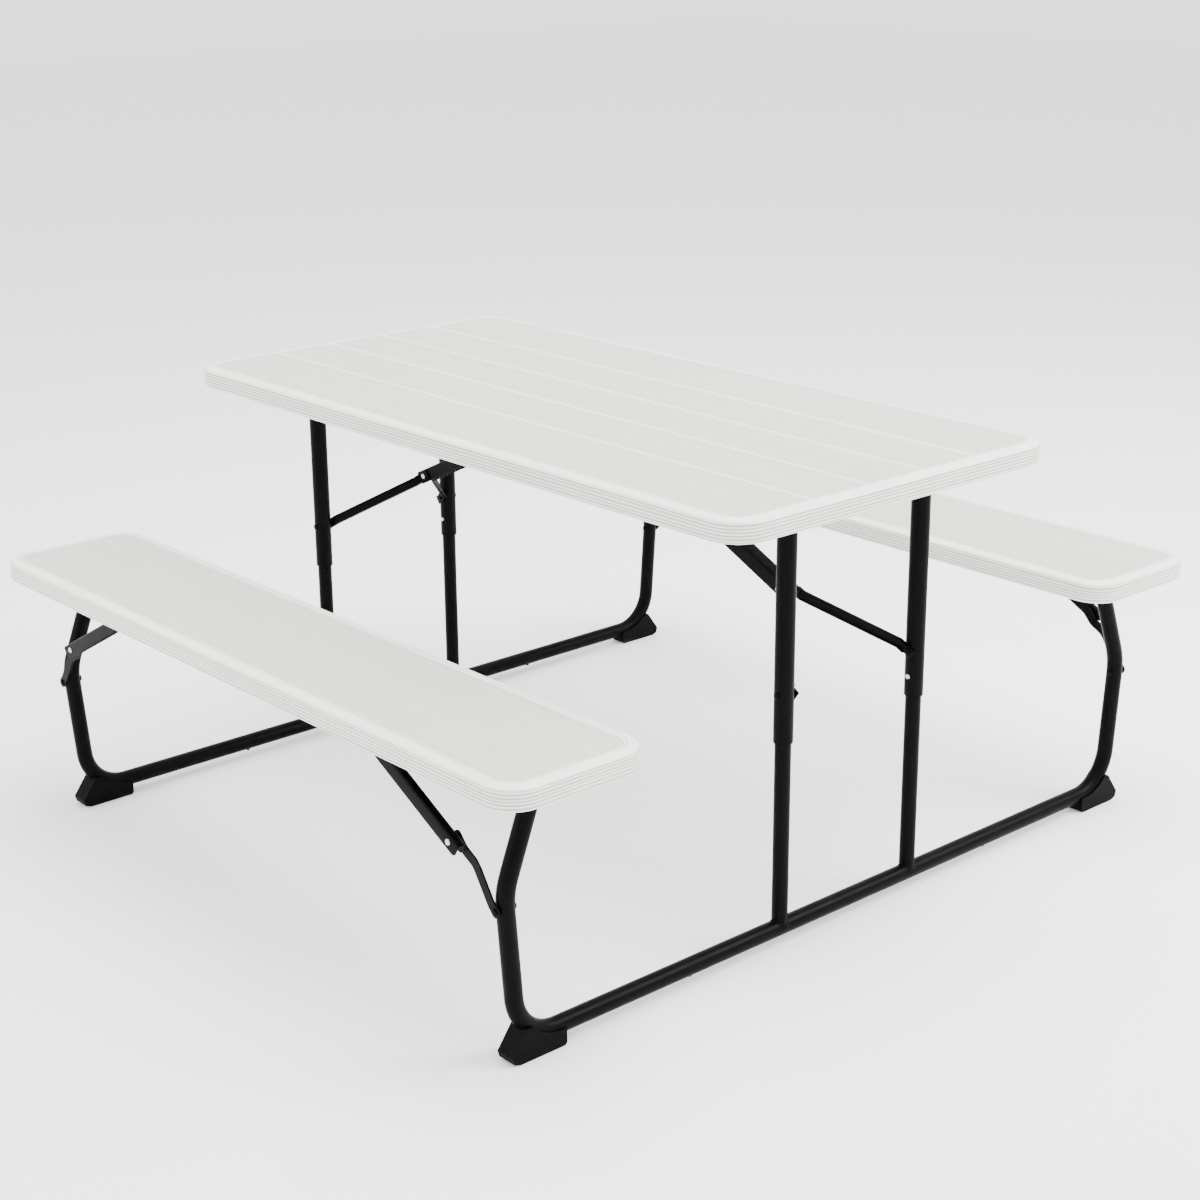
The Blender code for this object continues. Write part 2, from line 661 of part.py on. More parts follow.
def snap_button(name, sx, sy, material, axis):
    """Sprung button that faces the centre of the table, with a flange inside the post."""
    tip = SLEEVE_TUBE / 2 + BUTTON_PROUD
    bore = (POST_TUBE / 2 - TUBE_WALL) * math.cos(math.pi / TUBE_SIDES)
    wall = math.sqrt(bore**2 - BUTTON_FLANGE**2) - GAP
    back = tip - BUTTON_LENGTH
    profile = [(back, 0), (back, BUTTON_FLANGE), (wall, BUTTON_FLANGE), (wall, BUTTON)]
    profile += [(tip - BUTTON_DOME, BUTTON), (tip - BUTTON_TIP_RISE, BUTTON * BUTTON_TIP_SHARE), (tip, 0)]
    shape = turned(profile, (sx * FRAME_X, sy * POST_Y, BUTTON_Z), (0, -sy, 0))
    return piece(name, shape, material, axis)


def side_rail(name, sy, material, axis):
    """C rail under a long edge of the table, drilled for both hinge tubes."""
    top = TABLE_FIELD - GAP
    low = top - SIDE_RAIL_DEPTH
    half = FRAME_X + SIDE_RAIL_END
    near = SIDE_RAIL_Y
    far = SIDE_RAIL_Y + SIDE_RAIL_WIDTH
    wall = CHANNEL_WALL
    outline = [
        (near, low), (far, low), (far, low + wall), (near + wall, low + wall),
        (near + wall, top - wall), (far, top - wall), (far, top), (near, top),
    ]
    shape = prism(outline, lambda y, z: (-half, sy * y, z), (2 * half, 0, 0))
    obj = piece(name, shape, material, axis)
    for _, sx in ENDS:
        x = sx * FRAME_X
        start = (x, sy * (near - CUT_PAST), TABLE_HINGE_Z)
        end = (x, sy * (near + wall + CUT_PAST), TABLE_HINGE_Z)
        cut(obj, rod(start, end, HINGE_TUBE / 2 + GAP, TUBE_SIDES), axis)
    return obj


def centre_bracket(name, material, axis):
    """Pressed bracket at the middle of the table, with the anchor pins of both table braces."""
    top = TABLE_FIELD - GAP
    half = TABLE_ANCHOR_X + CENTRE_BRACKET_END
    outer = APEX_EAR_Y + PLATE
    obj = piece(name, box((-half, -outer, top - PLATE), (half, outer, top)), material, axis)
    for sy in (-1, 1):
        ys = sorted((sy * APEX_EAR_Y, sy * outer))
        low = TABLE_HINGE_Z - CENTRE_EAR_BELOW_PIN
        join(obj, box((-half, ys[0], low), (half, ys[1], top - PLATE / 2)), axis)
    for _, sx in ENDS:
        x = sx * TABLE_ANCHOR_X
        pin = rod((x, -outer + PLATE / 2, TABLE_HINGE_Z), (x, outer - PLATE / 2, TABLE_HINGE_Z), BOLT)
        join(obj, pin, axis)
    return obj


def brace_arm(name, sx, sy, material, axis):
    """Lower link of the table brace: a bent strip on edge, from a sleeve to the apex."""
    along = Vector((-sx * math.cos(TABLE_ARM_SLOPE), 0, math.sin(TABLE_ARM_SLOPE)))
    up = Vector((sx * math.sin(TABLE_ARM_SLOPE), 0, math.cos(TABLE_ARM_SLOPE)))
    pivot = Vector((sx * FRAME_X, 0, ARM_PIVOT_Z))
    low = pivot - up * ARM_DEPTH / 2
    outer = sy * (ARM_EAR_Y + PLATE / 2)
    inner = sy * (APEX_EAR_Y + PLATE / 2)
    line = [(-ARM_END, outer), (ARM_OUTER_STRAIGHT, outer)]
    line += [(TABLE_ARM - ARM_INNER_STRAIGHT, inner), (TABLE_ARM + KNEE_OVERHANG, inner)]
    outline = thick_line(line, PLATE)
    shape = prism(outline, lambda a, b: low + along * a + Vector((0, b, 0)), up * ARM_DEPTH)
    obj = piece(name, shape, material, axis)
    reach = PLATE + CUT_PAST
    hole = rod(pivot + Vector((0, outer - reach, 0)), pivot + Vector((0, outer + reach, 0)), BOLT + GAP)
    cut(obj, hole, axis)
    return obj


def arm_bolt(name, sx, sy, material, axis):
    """Pivot bolt of an arm, right through its sleeve."""
    start = ARM_EAR_Y - GAP
    end = POST_Y + SLEEVE_TUBE / 2 + BOLT_SEAT
    x = sx * FRAME_X
    return headed_pin(
        name, x, sy, ARM_PIVOT_Z, start, end, BOLT, BOLT_HEAD, BOLT_HEAD_THICKNESS, material, axis
    )


def build_benches(plastic, steel):
    """The two boards and the brackets screwed under them, which the rest hangs from."""
    for side, sy in SIDES:
        y = sy * BENCH_CENTRE
        board(side + "_bench", BENCH_LENGTH, BENCH_WIDTH, BENCH_HEIGHT, BENCH_CORNER, BENCH_RIM, y, plastic)
        for end, sx in ENDS:
            bench_bracket(f"{end}_{side}_bench_bracket", sx, sy, steel)
            leg_pin(f"{end}_{side}_leg_pin", sx, sy, steel)


def build_base_frame(end, sx, steel, rubber):
    """One folding base frame with its legs, feet and bench braces."""
    fold = joint_axis(end + "_frame_fold", (sx * FRAME_X, 0, BENCH_HINGE_Z))
    base_rail(end + "_base_rail", sx, steel, fold)
    for side, sy in SIDES:
        tag = f"{end}_{side}_"
        leg(tag + "leg", sx, sy, steel, fold)
        foot(tag + "foot", sx, sy, rubber, fold)
        link_bolt(tag + "link_bolt", sx, sy, steel, fold)
        link_axis = joint_axis(tag + "link_axis", (sx * FRAME_X, sy * LINK_Y, BRACE_PIVOT_Z), fold)
        bench_link(tag + "bench_link", sx, sy, steel, link_axis)
        centre = sy * (CHANNEL_Y + BENCH_CHANNEL_WIDTH / 2)
        anchor = (sx * (FRAME_X - BENCH_BRACE_SPAN), centre, BENCH_HINGE_Z)
        axis = joint_axis(tag + "channel_axis", anchor)
        size = (BENCH_CHANNEL_WIDTH, BENCH_CHANNEL_DEPTH)
        channel(
            tag + "bench_channel", anchor, sx, size, BENCH_CHANNEL, BENCH_CHANNEL_SLOPE, steel, axis
        )


def build_table(plastic, steel, bright):
    """Tabletop with its rails, folding legs, braces and snap buttons."""
    lift = joint_axis("table_lift", (0, 0, TABLE_FIELD))
    board("tabletop", TABLE_LENGTH, TABLE_WIDTH, TABLE_HEIGHT, TABLE_CORNER, TABLE_RIM, 0.0, plastic, lift)
    centre_bracket("centre_brace_bracket", steel, lift)
    for side, sy in SIDES:
        side_rail(side + "_side_rail", sy, steel, lift)
    for end, sx in ENDS:
        fold = joint_axis(end + "_table_leg_fold", (sx * FRAME_X, 0, TABLE_HINGE_Z), lift)
        table_leg(end + "_table_leg", sx, steel, fold)
        arms = joint_axis(end + "_arm_axis", (sx * FRAME_X, 0, ARM_PIVOT_Z), fold)
        anchor = (sx * TABLE_ANCHOR_X, 0, TABLE_HINGE_Z)
        axis = joint_axis(end + "_table_channel_axis", anchor, lift)
        size = (TABLE_CHANNEL_WIDTH, TABLE_CHANNEL_DEPTH)
        channel(
            end + "_table_channel", anchor, sx, size, TABLE_CHANNEL, TABLE_CHANNEL_SLOPE, steel, axis
        )
        for side, sy in SIDES:
            tag = f"{end}_{side}_"
            brace_arm(tag + "brace_arm", sx, sy, steel, arms)
            arm_bolt(tag + "arm_bolt", sx, sy, steel, fold)
            spigot(tag + "spigot", sx, sy, steel, fold)
            press = joint_axis(tag + "button_axis", (sx * FRAME_X, sy * POST_Y, BUTTON_Z), fold)
            snap_button(tag + "snap_button", sx, sy, bright, press)


def main():
    clear_scene()
    plastic = finish("white blow-moulded polyethylene", (0.80, 0.80, 0.77), 0.55, 0.0)
    steel = finish("black powder-coated steel", (0.012, 0.012, 0.011), 0.42, 0.0)
    rubber = finish("black moulded polypropylene", (0.010, 0.010, 0.010), 0.60, 0.0)
    bright = finish("zinc-plated steel", (0.62, 0.62, 0.60), 0.28, 1.0)
    build_benches(plastic, steel)
    for end, sx in ENDS:
        build_base_frame(end, sx, steel, rubber)
    build_table(plastic, steel, bright)


main()
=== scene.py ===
"""Folding picnic table: finished boards, tubes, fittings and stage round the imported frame."""

import json
import math

import bmesh
import bpy
from bpy.props import FloatProperty, FloatVectorProperty, IntProperty, PointerProperty
from mathutils import Matrix, Vector


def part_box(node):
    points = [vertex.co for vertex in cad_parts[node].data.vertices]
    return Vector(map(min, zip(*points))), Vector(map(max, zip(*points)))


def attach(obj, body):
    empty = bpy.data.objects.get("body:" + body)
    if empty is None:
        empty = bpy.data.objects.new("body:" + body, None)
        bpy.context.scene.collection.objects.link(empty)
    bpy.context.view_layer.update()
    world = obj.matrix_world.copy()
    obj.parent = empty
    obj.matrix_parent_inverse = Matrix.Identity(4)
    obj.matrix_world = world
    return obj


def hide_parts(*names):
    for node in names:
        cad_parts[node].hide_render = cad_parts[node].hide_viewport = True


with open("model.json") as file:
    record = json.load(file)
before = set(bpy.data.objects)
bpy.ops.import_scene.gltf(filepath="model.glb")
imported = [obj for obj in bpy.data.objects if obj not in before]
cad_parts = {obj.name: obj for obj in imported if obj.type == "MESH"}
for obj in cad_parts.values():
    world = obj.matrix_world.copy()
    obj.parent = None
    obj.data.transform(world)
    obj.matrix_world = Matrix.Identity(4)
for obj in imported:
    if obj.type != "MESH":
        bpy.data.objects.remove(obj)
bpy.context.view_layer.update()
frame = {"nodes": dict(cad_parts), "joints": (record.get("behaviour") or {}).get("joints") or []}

bl_info = {
    "name": "Folding picnic table",
    "version": (1, 0, 0),
    "blender": (4, 5, 0),
    "location": "3D View > Sidebar > Picnic table",
    "description": "Builds the finished pieces of a folding picnic table round its frame",
    "category": "Object",
}

JOINTS = {joint["name"]: joint for joint in frame["joints"]}
ENDS = (("near", 1), ("far", -1))
SIDES = (("left", -1), ("right", 1))
SHARP_ANGLE = math.radians(32)
BOARD_SHARP_ANGLE = math.radians(11)

# Boards: width of the rim underneath, depth of the recess inside it, and radius of the corners
TABLE_RIM, BENCH_RIM = 0.040, 0.018
RECESS_DEPTH = 0.010
TABLE_CORNER, BENCH_CORNER = 0.055, 0.050
BORDER_STEP = 0.0007

# Braces: depth and wall of each channel, how far it runs past its pivots, and the shape of a link
TABLE_CHANNEL_DEPTH, TABLE_CHANNEL_WALL = 0.024, 0.0016
BENCH_CHANNEL_DEPTH, BENCH_CHANNEL_WALL = 0.022, 0.0015
CHANNEL_BACK, CHANNEL_OVERHANG = 0.008, 0.020
LINK_BACK, KNEE_OVERHANG = 0.009, 0.012
LINK_WIDTH, LINK_JOG = 0.016, 0.008
LINK_BENDS = (0.10, 0.56, 0.64, 0.84)
SEAT_CLEARANCE = 0.0003

# Soft lights: name, place, target, width in metres and power in watts
SOFTBOXES = (
    ("overhead", (0.3, 0.4, 4.2), (0, 0, 0.4), 3.4, 320),
    ("key", (2.6, 2.6, 3.0), (0, 0, 0.5), 2.0, 230),
    ("side", (-1.2, -3.6, 1.8), (0, 0, 0.5), 1.6, 60),
)
SKY_STRENGTH = 2.1

# Places of the hinges, taken from the frame's joints
FRAME_X = JOINTS["near_frame_fold"]["pos_m"][0]
BENCH_HINGE_Z = JOINTS["near_frame_fold"]["pos_m"][2]
TABLE_HINGE_Z = JOINTS["near_table_leg_fold"]["pos_m"][2]
ARM_PIVOT_Z = JOINTS["near_arm_pivot"]["pos_m"][2]
BRACE_PIVOT_Z = JOINTS["near_left_link_pivot"]["pos_m"][2]
BENCH_ANCHOR_X = JOINTS["near_left_channel_pivot"]["pos_m"][0]
TABLE_ANCHOR_X = JOINTS["near_brace_channel_pivot"]["pos_m"][0]


def size_of(node):
    """Width, depth and height of a frame node."""
    low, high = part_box(node)
    return high - low


def middle_of(node):
    """Centre of a frame node's box."""
    low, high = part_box(node)
    return (low + high) / 2


def brace(span, drop, lower_joint, upper_joint):
    """Links of a brace with a knee past dead centre: their lengths, and their slopes in use."""
    lower_slope = math.radians(90 - JOINTS[lower_joint]["range_deg"][1])
    upper_slope = math.radians(JOINTS[upper_joint]["range_deg"][1])
    apex = math.sin(lower_slope - upper_slope)
    lower = (drop * math.cos(upper_slope) - span * math.sin(upper_slope)) / apex
    upper = (span * math.sin(lower_slope) - drop * math.cos(lower_slope)) / apex
    return lower, upper, lower_slope, upper_slope


BENCH_LINK, BENCH_CHANNEL, BENCH_LINK_SLOPE, BENCH_CHANNEL_SLOPE = brace(
    FRAME_X - BENCH_ANCHOR_X, BENCH_HINGE_Z - BRACE_PIVOT_Z, "near_left_link_pivot", "near_left_channel_pivot"
)
TABLE_ARM, TABLE_CHANNEL, TABLE_ARM_SLOPE, TABLE_CHANNEL_SLOPE = brace(
    FRAME_X - TABLE_ANCHOR_X, TABLE_HINGE_Z - ARM_PIVOT_Z, "near_arm_pivot", "near_brace_channel_pivot"
)


class BoardSettings(bpy.types.PropertyGroup):
    """Shape of the blow-moulded boards."""

    shoulder: FloatProperty(
        name="Shoulder", description="Width of the smooth sloping shoulder", default=0.014, unit="LENGTH"
    )
    shoulder_fall: FloatProperty(
        name="Shoulder fall", description="Drop of the top face over the shoulder",
        default=0.0038, unit="LENGTH",
    )
    upper_edge: FloatProperty(
        name="Upper edge", description="Radius of the edge outside the shoulder", default=0.005, unit="LENGTH"
    )
    lower_edge: FloatProperty(
        name="Lower edge", description="Radius of the lower edge", default=0.004, unit="LENGTH"
    )
    border: FloatProperty(
        name="Border", description="Plain border between shoulder and planks", default=0.003, unit="LENGTH"
    )
    planks: IntProperty(name="Planks", description="Planks moulded into the tabletop", default=5, min=1)
    groove_width: FloatProperty(
        name="Groove width", description="Width of the line between planks", default=0.0068, unit="LENGTH"
    )
    groove_depth: FloatProperty(
        name="Groove depth", description="Depth of the line between planks", default=0.0016, unit="LENGTH"
    )
    plank_pitch: FloatProperty(
        name="Plank pitch", description="Width of a middle plank", default=0.117, unit="LENGTH"
    )
    pocket_pitch: FloatProperty(
        name="Pocket pitch", description="Spacing of the pockets underneath", default=0.085, unit="LENGTH"
    )
    pocket_depth: FloatProperty(
        name="Pocket depth", description="Depth of the pockets underneath", default=0.009, unit="LENGTH"
    )
    colour: FloatVectorProperty(
        name="Colour", description="Polyethylene, as sRGB", subtype="COLOR_GAMMA",
        size=3, min=0, max=1, default=(0.925, 0.922, 0.905),
    )


class TubeSettings(bpy.types.PropertyGroup):
    """Shape of the tubes of the frame."""

    sides: IntProperty(name="Sides", description="Sides of a round tube", default=48, min=12)
    wall: FloatProperty(name="Wall", description="Wall of the tubes", default=0.0014, unit="LENGTH")
    foot_bend: FloatProperty(
        name="Foot bend", description="Radius of the bend at the floor", default=0.075, unit="LENGTH"
    )
    knee_bend: FloatProperty(
        name="Knee bend", description="Radius of the bend under the bench", default=0.110, unit="LENGTH"
    )
    foot_reach: FloatProperty(
        name="Foot reach", description="Leg's distance from the middle, above its foot bend",
        default=0.667, unit="LENGTH",
    )
    knee_reach: FloatProperty(
        name="Knee reach", description="Leg's distance from the middle, at its knee",
        default=0.679, unit="LENGTH",
    )
    knee_height: FloatProperty(
        name="Knee height", description="Height of the knee", default=0.257, unit="LENGTH"
    )
    lean: FloatProperty(
        name="Lean", description="Lean of the leg above its knee", default=math.radians(21), unit="ROTATION"
    )
    splice: FloatProperty(
        name="Splice", description="Distance of the rail splice from the middle", default=0.318, unit="LENGTH"
    )
    bead: FloatProperty(name="Weld bead", description="Radius of a weld bead", default=0.0017, unit="LENGTH")
    colour: FloatVectorProperty(
        name="Colour", description="Powder coat, as sRGB", subtype="COLOR_GAMMA",
        size=3, min=0, max=1, default=(0.014, 0.014, 0.013),
    )


class FittingSettings(bpy.types.PropertyGroup):
    """Shape of the braces, rivets and feet."""

    fold_radius: FloatProperty(
        name="Fold radius", description="Radius of a folded steel corner", default=0.0035, unit="LENGTH"
    )
    strip_edge: FloatProperty(
        name="Strip edge", description="Rounding of stamped edges", default=0.0006, unit="LENGTH"
    )
    rivet_head: FloatProperty(
        name="Rivet head", description="Radius of a bright rivet head", default=0.0048, unit="LENGTH"
    )
    rivet_rise: FloatProperty(
        name="Rivet rise", description="Height of a bright rivet head", default=0.0024, unit="LENGTH"
    )
    foot_edge: FloatProperty(
        name="Foot edge", description="Rounding of the moulded feet", default=0.0022, unit="LENGTH"
    )
    arm_lip: FloatProperty(
        name="Arm lip", description="Width of the lips folded on the brace arms", default=0.008, unit="LENGTH"
    )


class StageSettings(bpy.types.PropertyGroup):
    """Camera, floor and lights."""

    azimuth: FloatProperty(
        name="Azimuth", description="Camera's heading", default=math.radians(48.69), unit="ROTATION"
    )
    elevation: FloatProperty(
        name="Elevation", description="Camera's tilt", default=math.radians(18.48), unit="ROTATION"
    )
    roll: FloatProperty(
        name="Roll", description="Camera's roll", default=math.radians(-0.44), unit="ROTATION"
    )
    lens: FloatProperty(name="Lens", description="Focal length in millimetres", default=65.9)
    camera: FloatVectorProperty(
        name="Camera", description="Place of the camera", subtype="TRANSLATION",
        size=3, default=(2.6794, -2.3388, 1.5604),
    )
    floor_colour: FloatVectorProperty(
        name="Floor", description="Floor colour, as sRGB", subtype="COLOR_GAMMA",
        size=3, min=0, max=1, default=(0.985, 0.985, 0.980),
    )


def linear(colour):
    """sRGB colour, as a hex word or three values from 0 to 1, to linear RGBA."""
    if isinstance(colour, str):
        colour = [int(colour[i:i + 2], 16) / 255 for i in (1, 3, 5)]
    return [c / 12.92 if c <= 0.04045 else ((c + 0.055) / 1.055) ** 2.4 for c in colour] + [1.0]


def add(tree, kind, inputs=None, **settings):
    """Add a shader node: settings on the node, and values or links on its inputs."""
    node = tree.nodes.new("ShaderNode" + kind)
    for name, value in settings.items():
        setattr(node, name, value)
    for name, value in (inputs or {}).items():
        if isinstance(value, bpy.types.NodeSocket):
            tree.links.new(value, node.inputs[name])
        else:
            node.inputs[name].default_value = value
    return node


def new_material(name, **sockets):
    """Material with a Principled shader, and its uniform values on the shader's own sockets."""
    material = bpy.data.materials.new(name)
    material.use_nodes = True
    tree = material.node_tree
    shader = tree.nodes["Principled BSDF"]
    for socket, value in sockets.items():
        shader.inputs[socket.replace("_", " ")].default_value = value
    return material, tree, shader


def stretched_noise(tree, scale, detail, roughness=0.55):
    """Noise on Object coordinates, with a scale for each axis in cycles a metre."""
    place = add(tree, "TexCoord").outputs["Object"]
    mapping = add(tree, "Mapping", {"Vector": place, "Scale": scale})
    settings = {"Vector": mapping.outputs[0], "Scale": 1.0, "Detail": detail, "Roughness": roughness}
    return add(tree, "TexNoise", settings).outputs[0]


def ramp(tree, value, low, high, out_low=0.0, out_high=1.0):
    """Smooth step of a value between two limits."""
    settings = {"Value": value, "From Min": low, "From Max": high, "To Min": out_low, "To Max": out_high}
    return add(tree, "MapRange", settings, interpolation_type="SMOOTHSTEP").outputs[0]


def maths(tree, operation, first, second=0.0):
    """One maths node."""
    return add(tree, "Math", {0: first, 1: second}, operation=operation).outputs[0]


def grain_lines(tree, squeeze, axis, pitch, wander):
    """Dark furrows of a moulded wood grain: bands across one axis that wander along the others."""
    place = add(tree, "TexCoord").outputs["Object"]
    mapping = add(tree, "Mapping", {"Vector": place, "Scale": squeeze})
    settings = {"Vector": mapping.outputs[0], "Scale": 0.314 / pitch, "Distortion": wander,
                "Detail": 3.0, "Detail Scale": 1.4, "Detail Roughness": 0.6}
    bands = add(tree, "TexWave", settings, wave_type="BANDS", bands_direction=axis).outputs[1]
    return ramp(tree, bands, 0.10, 0.55)


def grained_polyethylene(colour):
    """High-density polyethylene, blow-moulded in an etched mould: a soft waxy white. The flat of
    each board is painted greyer and broken up by a fine wood grain along its length; the rounded
    shoulder, the groove walls and the sides keep the lighter colour as a painted highlight. The shoulder is
    smooth, and the edges carry coarser grain lines, level all the way round."""
    material, tree, shader = new_material("grained_polyethylene", IOR=1.50, Specular_IOR_Level=0.35)
    normal = add(tree, "TexCoord").outputs["Normal"]
    facing = add(tree, "SeparateXYZ", {0: normal}).outputs["Z"]
    flat = ramp(tree, facing, 0.992, 0.9995)
    edge = ramp(tree, maths(tree, "ABSOLUTE", facing), 0.5, 0.2)
    # Furrows 4 mm apart on the flat and 5 mm apart on the edges, which run on for a hand's breadth
    fine = grain_lines(tree, (0.035, 1.0, 0.2), "Y", 0.0042, 7.0)
    lines = grain_lines(tree, (0.03, 0.03, 1.0), "Z", 0.0050, 2.4)
    figure = stretched_noise(tree, (3.0, 30.0, 10.0), 3.0, 0.5)
    furrow = maths(tree, "MULTIPLY", maths(tree, "SUBTRACT", 1.0, lines), edge)
    pore = maths(tree, "MULTIPLY", maths(tree, "SUBTRACT", 1.0, fine), flat)
    # Painted shade and highlight: faces that look straight up are painted greyer, so the shoulder, the groove
    # walls and the sides keep the lighter colour as a painted highlight
    mixed = add(tree, "Mix", {"Factor": flat, 6: linear(colour), 7: linear("#CBCCC5")}, data_type="RGBA")
    mixed = add(tree, "Mix", {"Factor": maths(tree, "MULTIPLY", furrow, 0.75), 6: mixed.outputs[2],
                              7: linear("#8E8A81")}, data_type="RGBA")
    mixed = add(tree, "Mix", {"Factor": maths(tree, "MULTIPLY", pore, 0.42), 6: mixed.outputs[2],
                              7: linear("#8F8E87")}, data_type="RGBA")
    cloud = ramp(tree, figure, 0.3, 0.7, 0.965, 1.01)
    value = add(tree, "HueSaturation", {"Color": mixed.outputs[2], "Value": cloud})
    tree.links.new(value.outputs[0], shader.inputs["Base Color"])
    tree.links.new(maths(tree, "ADD", 0.32, maths(tree, "MULTIPLY", flat, 0.16)), shader.inputs["Roughness"])
    height = maths(tree, "MULTIPLY", fine, maths(tree, "MULTIPLY", flat, 0.5))
    height = maths(tree, "ADD", height, maths(tree, "MULTIPLY", lines, edge))
    bump = add(tree, "Bump", {"Height": height, "Strength": 0.7, "Distance": 0.0006})
    tree.links.new(bump.outputs[0], shader.inputs["Normal"])
    return material


def powder_coated_steel(colour):
    """Mild steel tube with a satin black powder coat, sprayed and baked: a slight orange peel
    that softens the long highlights, and a fine variation in gloss."""
    material, tree, shader = new_material("powder_coated_steel", IOR=1.45, Specular_IOR_Level=0.05)
    peel = stretched_noise(tree, (520.0, 520.0, 520.0), 2.0)
    patch = stretched_noise(tree, (22.0, 22.0, 9.0), 3.0)
    dark = linear(colour)
    light = linear([c * 1.22 for c in colour])
    mixed = add(tree, "Mix", {"Factor": ramp(tree, patch, 0.35, 0.7), 6: dark, 7: light}, data_type="RGBA")
    tree.links.new(mixed.outputs[2], shader.inputs["Base Color"])
    gloss = ramp(tree, patch, 0.3, 0.7, 0.33, 0.42)
    tree.links.new(gloss, shader.inputs["Roughness"])
    # The peel of the coat is about 0.5 mm across, drawn at 2 mm so that it shows
    bump = add(tree, "Bump", {"Height": peel, "Strength": 0.16, "Distance": 0.0003})
    tree.links.new(bump.outputs[0], shader.inputs["Normal"])
    return material


def moulded_polypropylene():
    """Black polypropylene shoe, injection-moulded in a spark-eroded mould: matt and slightly
    pebbled, and scuffed paler low down where it meets the ground."""
    material, tree, shader = new_material("moulded_polypropylene", IOR=1.45, Specular_IOR_Level=0.05)
    pebble = stretched_noise(tree, (850.0, 850.0, 850.0), 2.0)
    place = add(tree, "TexCoord").outputs["Object"]
    height = add(tree, "SeparateXYZ", {0: place}).outputs["Z"]
    low = ramp(tree, height, 0.012, 0.0)
    scuff = maths(tree, "MULTIPLY", low, ramp(tree, stretched_noise(tree, (60, 25, 140), 4.0), 0.48, 0.7))
    mixed = add(tree, "Mix", {"Factor": maths(tree, "MULTIPLY", scuff, 0.5), 6: linear("#050505"),
                              7: linear("#2A2926")}, data_type="RGBA")
    tree.links.new(mixed.outputs[2], shader.inputs["Base Color"])
    tree.links.new(ramp(tree, pebble, 0.3, 0.7, 0.50, 0.62), shader.inputs["Roughness"])
    bump = add(tree, "Bump", {"Height": pebble, "Strength": 0.22, "Distance": 0.0003})
    tree.links.new(bump.outputs[0], shader.inputs["Normal"])
    return material


def zinc_plated_steel():
    """Cold-headed steel with bright zinc plating: cool, slightly clouded, with faint die marks."""
    material, tree, shader = new_material("zinc_plated_steel", Metallic=1.0)
    cloud = stretched_noise(tree, (400.0, 400.0, 400.0), 3.0)
    mixed = add(tree, "Mix", {"Factor": cloud, 6: linear("#B9BBBD"), 7: linear("#DEDEDA")}, data_type="RGBA")
    tree.links.new(mixed.outputs[2], shader.inputs["Base Color"])
    tree.links.new(ramp(tree, cloud, 0.3, 0.7, 0.22, 0.38), shader.inputs["Roughness"])
    return material


def floor_paint(colour):
    """Matt white studio floor."""
    material, _, shader = new_material("matt_studio_floor", Roughness=0.85, Specular_IOR_Level=0.2)
    shader.inputs["Base Color"].default_value = linear(colour)
    return material


def make(name, shape, material, body, nodes=(), angle=SHARP_ANGLE):
    """Turn a bmesh into a finished piece that rides on a body and stands for frame nodes."""
    bmesh.ops.remove_doubles(shape, verts=shape.verts, dist=1e-6)
    bmesh.ops.recalc_face_normals(shape, faces=shape.faces)
    mesh = bpy.data.meshes.new(name)
    shape.to_mesh(mesh)
    shape.free()
    mesh.shade_smooth()
    mesh.set_sharp_from_angle(angle=angle)
    obj = bpy.data.objects.new(name, mesh)
    bpy.context.scene.collection.objects.link(obj)
    mesh.materials.append(material)
    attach(obj, body)
    if nodes:
        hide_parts(*nodes)
    return obj


def finish_material(key, builder, *inputs):
    """Material by name, made once."""
    return bpy.data.materials.get(key) or builder(*inputs)


def plastic():
    colour = bpy.context.scene.picnic_board.colour
    return finish_material("grained_polyethylene", grained_polyethylene, list(colour))


def coat():
    colour = bpy.context.scene.picnic_tube.colour
    return finish_material("powder_coated_steel", powder_coated_steel, list(colour))


def bright():
    return finish_material("zinc_plated_steel", zinc_plated_steel)


def rubber():
    return finish_material("moulded_polypropylene", moulded_polypropylene)


def block(size, centre):
    """Box of a given size round a point."""
    shape = bmesh.new()
    place = Matrix.Translation(centre) @ Matrix.Diagonal((*size, 1.0))
    bmesh.ops.create_cube(shape, size=1.0, matrix=place)
    return shape


def edges_along(shape, axis):
    """Edges that run along an axis."""
    return [e for e in shape.edges if abs((e.verts[1].co - e.verts[0].co).normalized()[axis]) > 0.999]


def round_edges(shape, edges, radius, segments):
    """Bevel of some edges, with a round profile."""
    bmesh.ops.bevel(
        shape, geom=edges, offset=radius, offset_type="OFFSET", segments=segments,
        profile=0.5, affect="EDGES", material=-1, clamp_overlap=True,
    )


def join(shape, other):
    """Add another bmesh to a bmesh."""
    mesh = bpy.data.meshes.new("joined")
    other.to_mesh(mesh)
    other.free()
    shape.from_mesh(mesh)
    bpy.data.meshes.remove(mesh)
    return shape


def frame_along(origin, along, up):
    """Matrix whose X runs along, whose Z runs up and whose origin is a point."""
    x = Vector(along).normalized()
    z = Vector(up).normalized()
    y = z.cross(x)
    turn = Matrix((x, y, z)).transposed().to_4x4()
    return Matrix.Translation(origin) @ turn


def turned(profile, origin, direction, sides=32):
    """Round solid from (distance along, radius) points that start and end on its axis."""
    turn = Vector(direction).to_track_quat("Z", "Y").to_matrix().to_4x4()
    shape = bmesh.new()
    points = [shape.verts.new((radius, 0.0, along)) for along, radius in profile]
    edges = [shape.edges.new(pair) for pair in zip(points, points[1:])]
    bmesh.ops.spin(
        shape, geom=points + edges, cent=(0, 0, 0), axis=(0, 0, 1), angle=2 * math.pi,
        steps=sides, use_merge=True,
    )
    bmesh.ops.remove_doubles(shape, verts=shape.verts, dist=1e-6)
    bmesh.ops.transform(shape, matrix=Matrix.Translation(origin) @ turn, verts=shape.verts)
    return shape


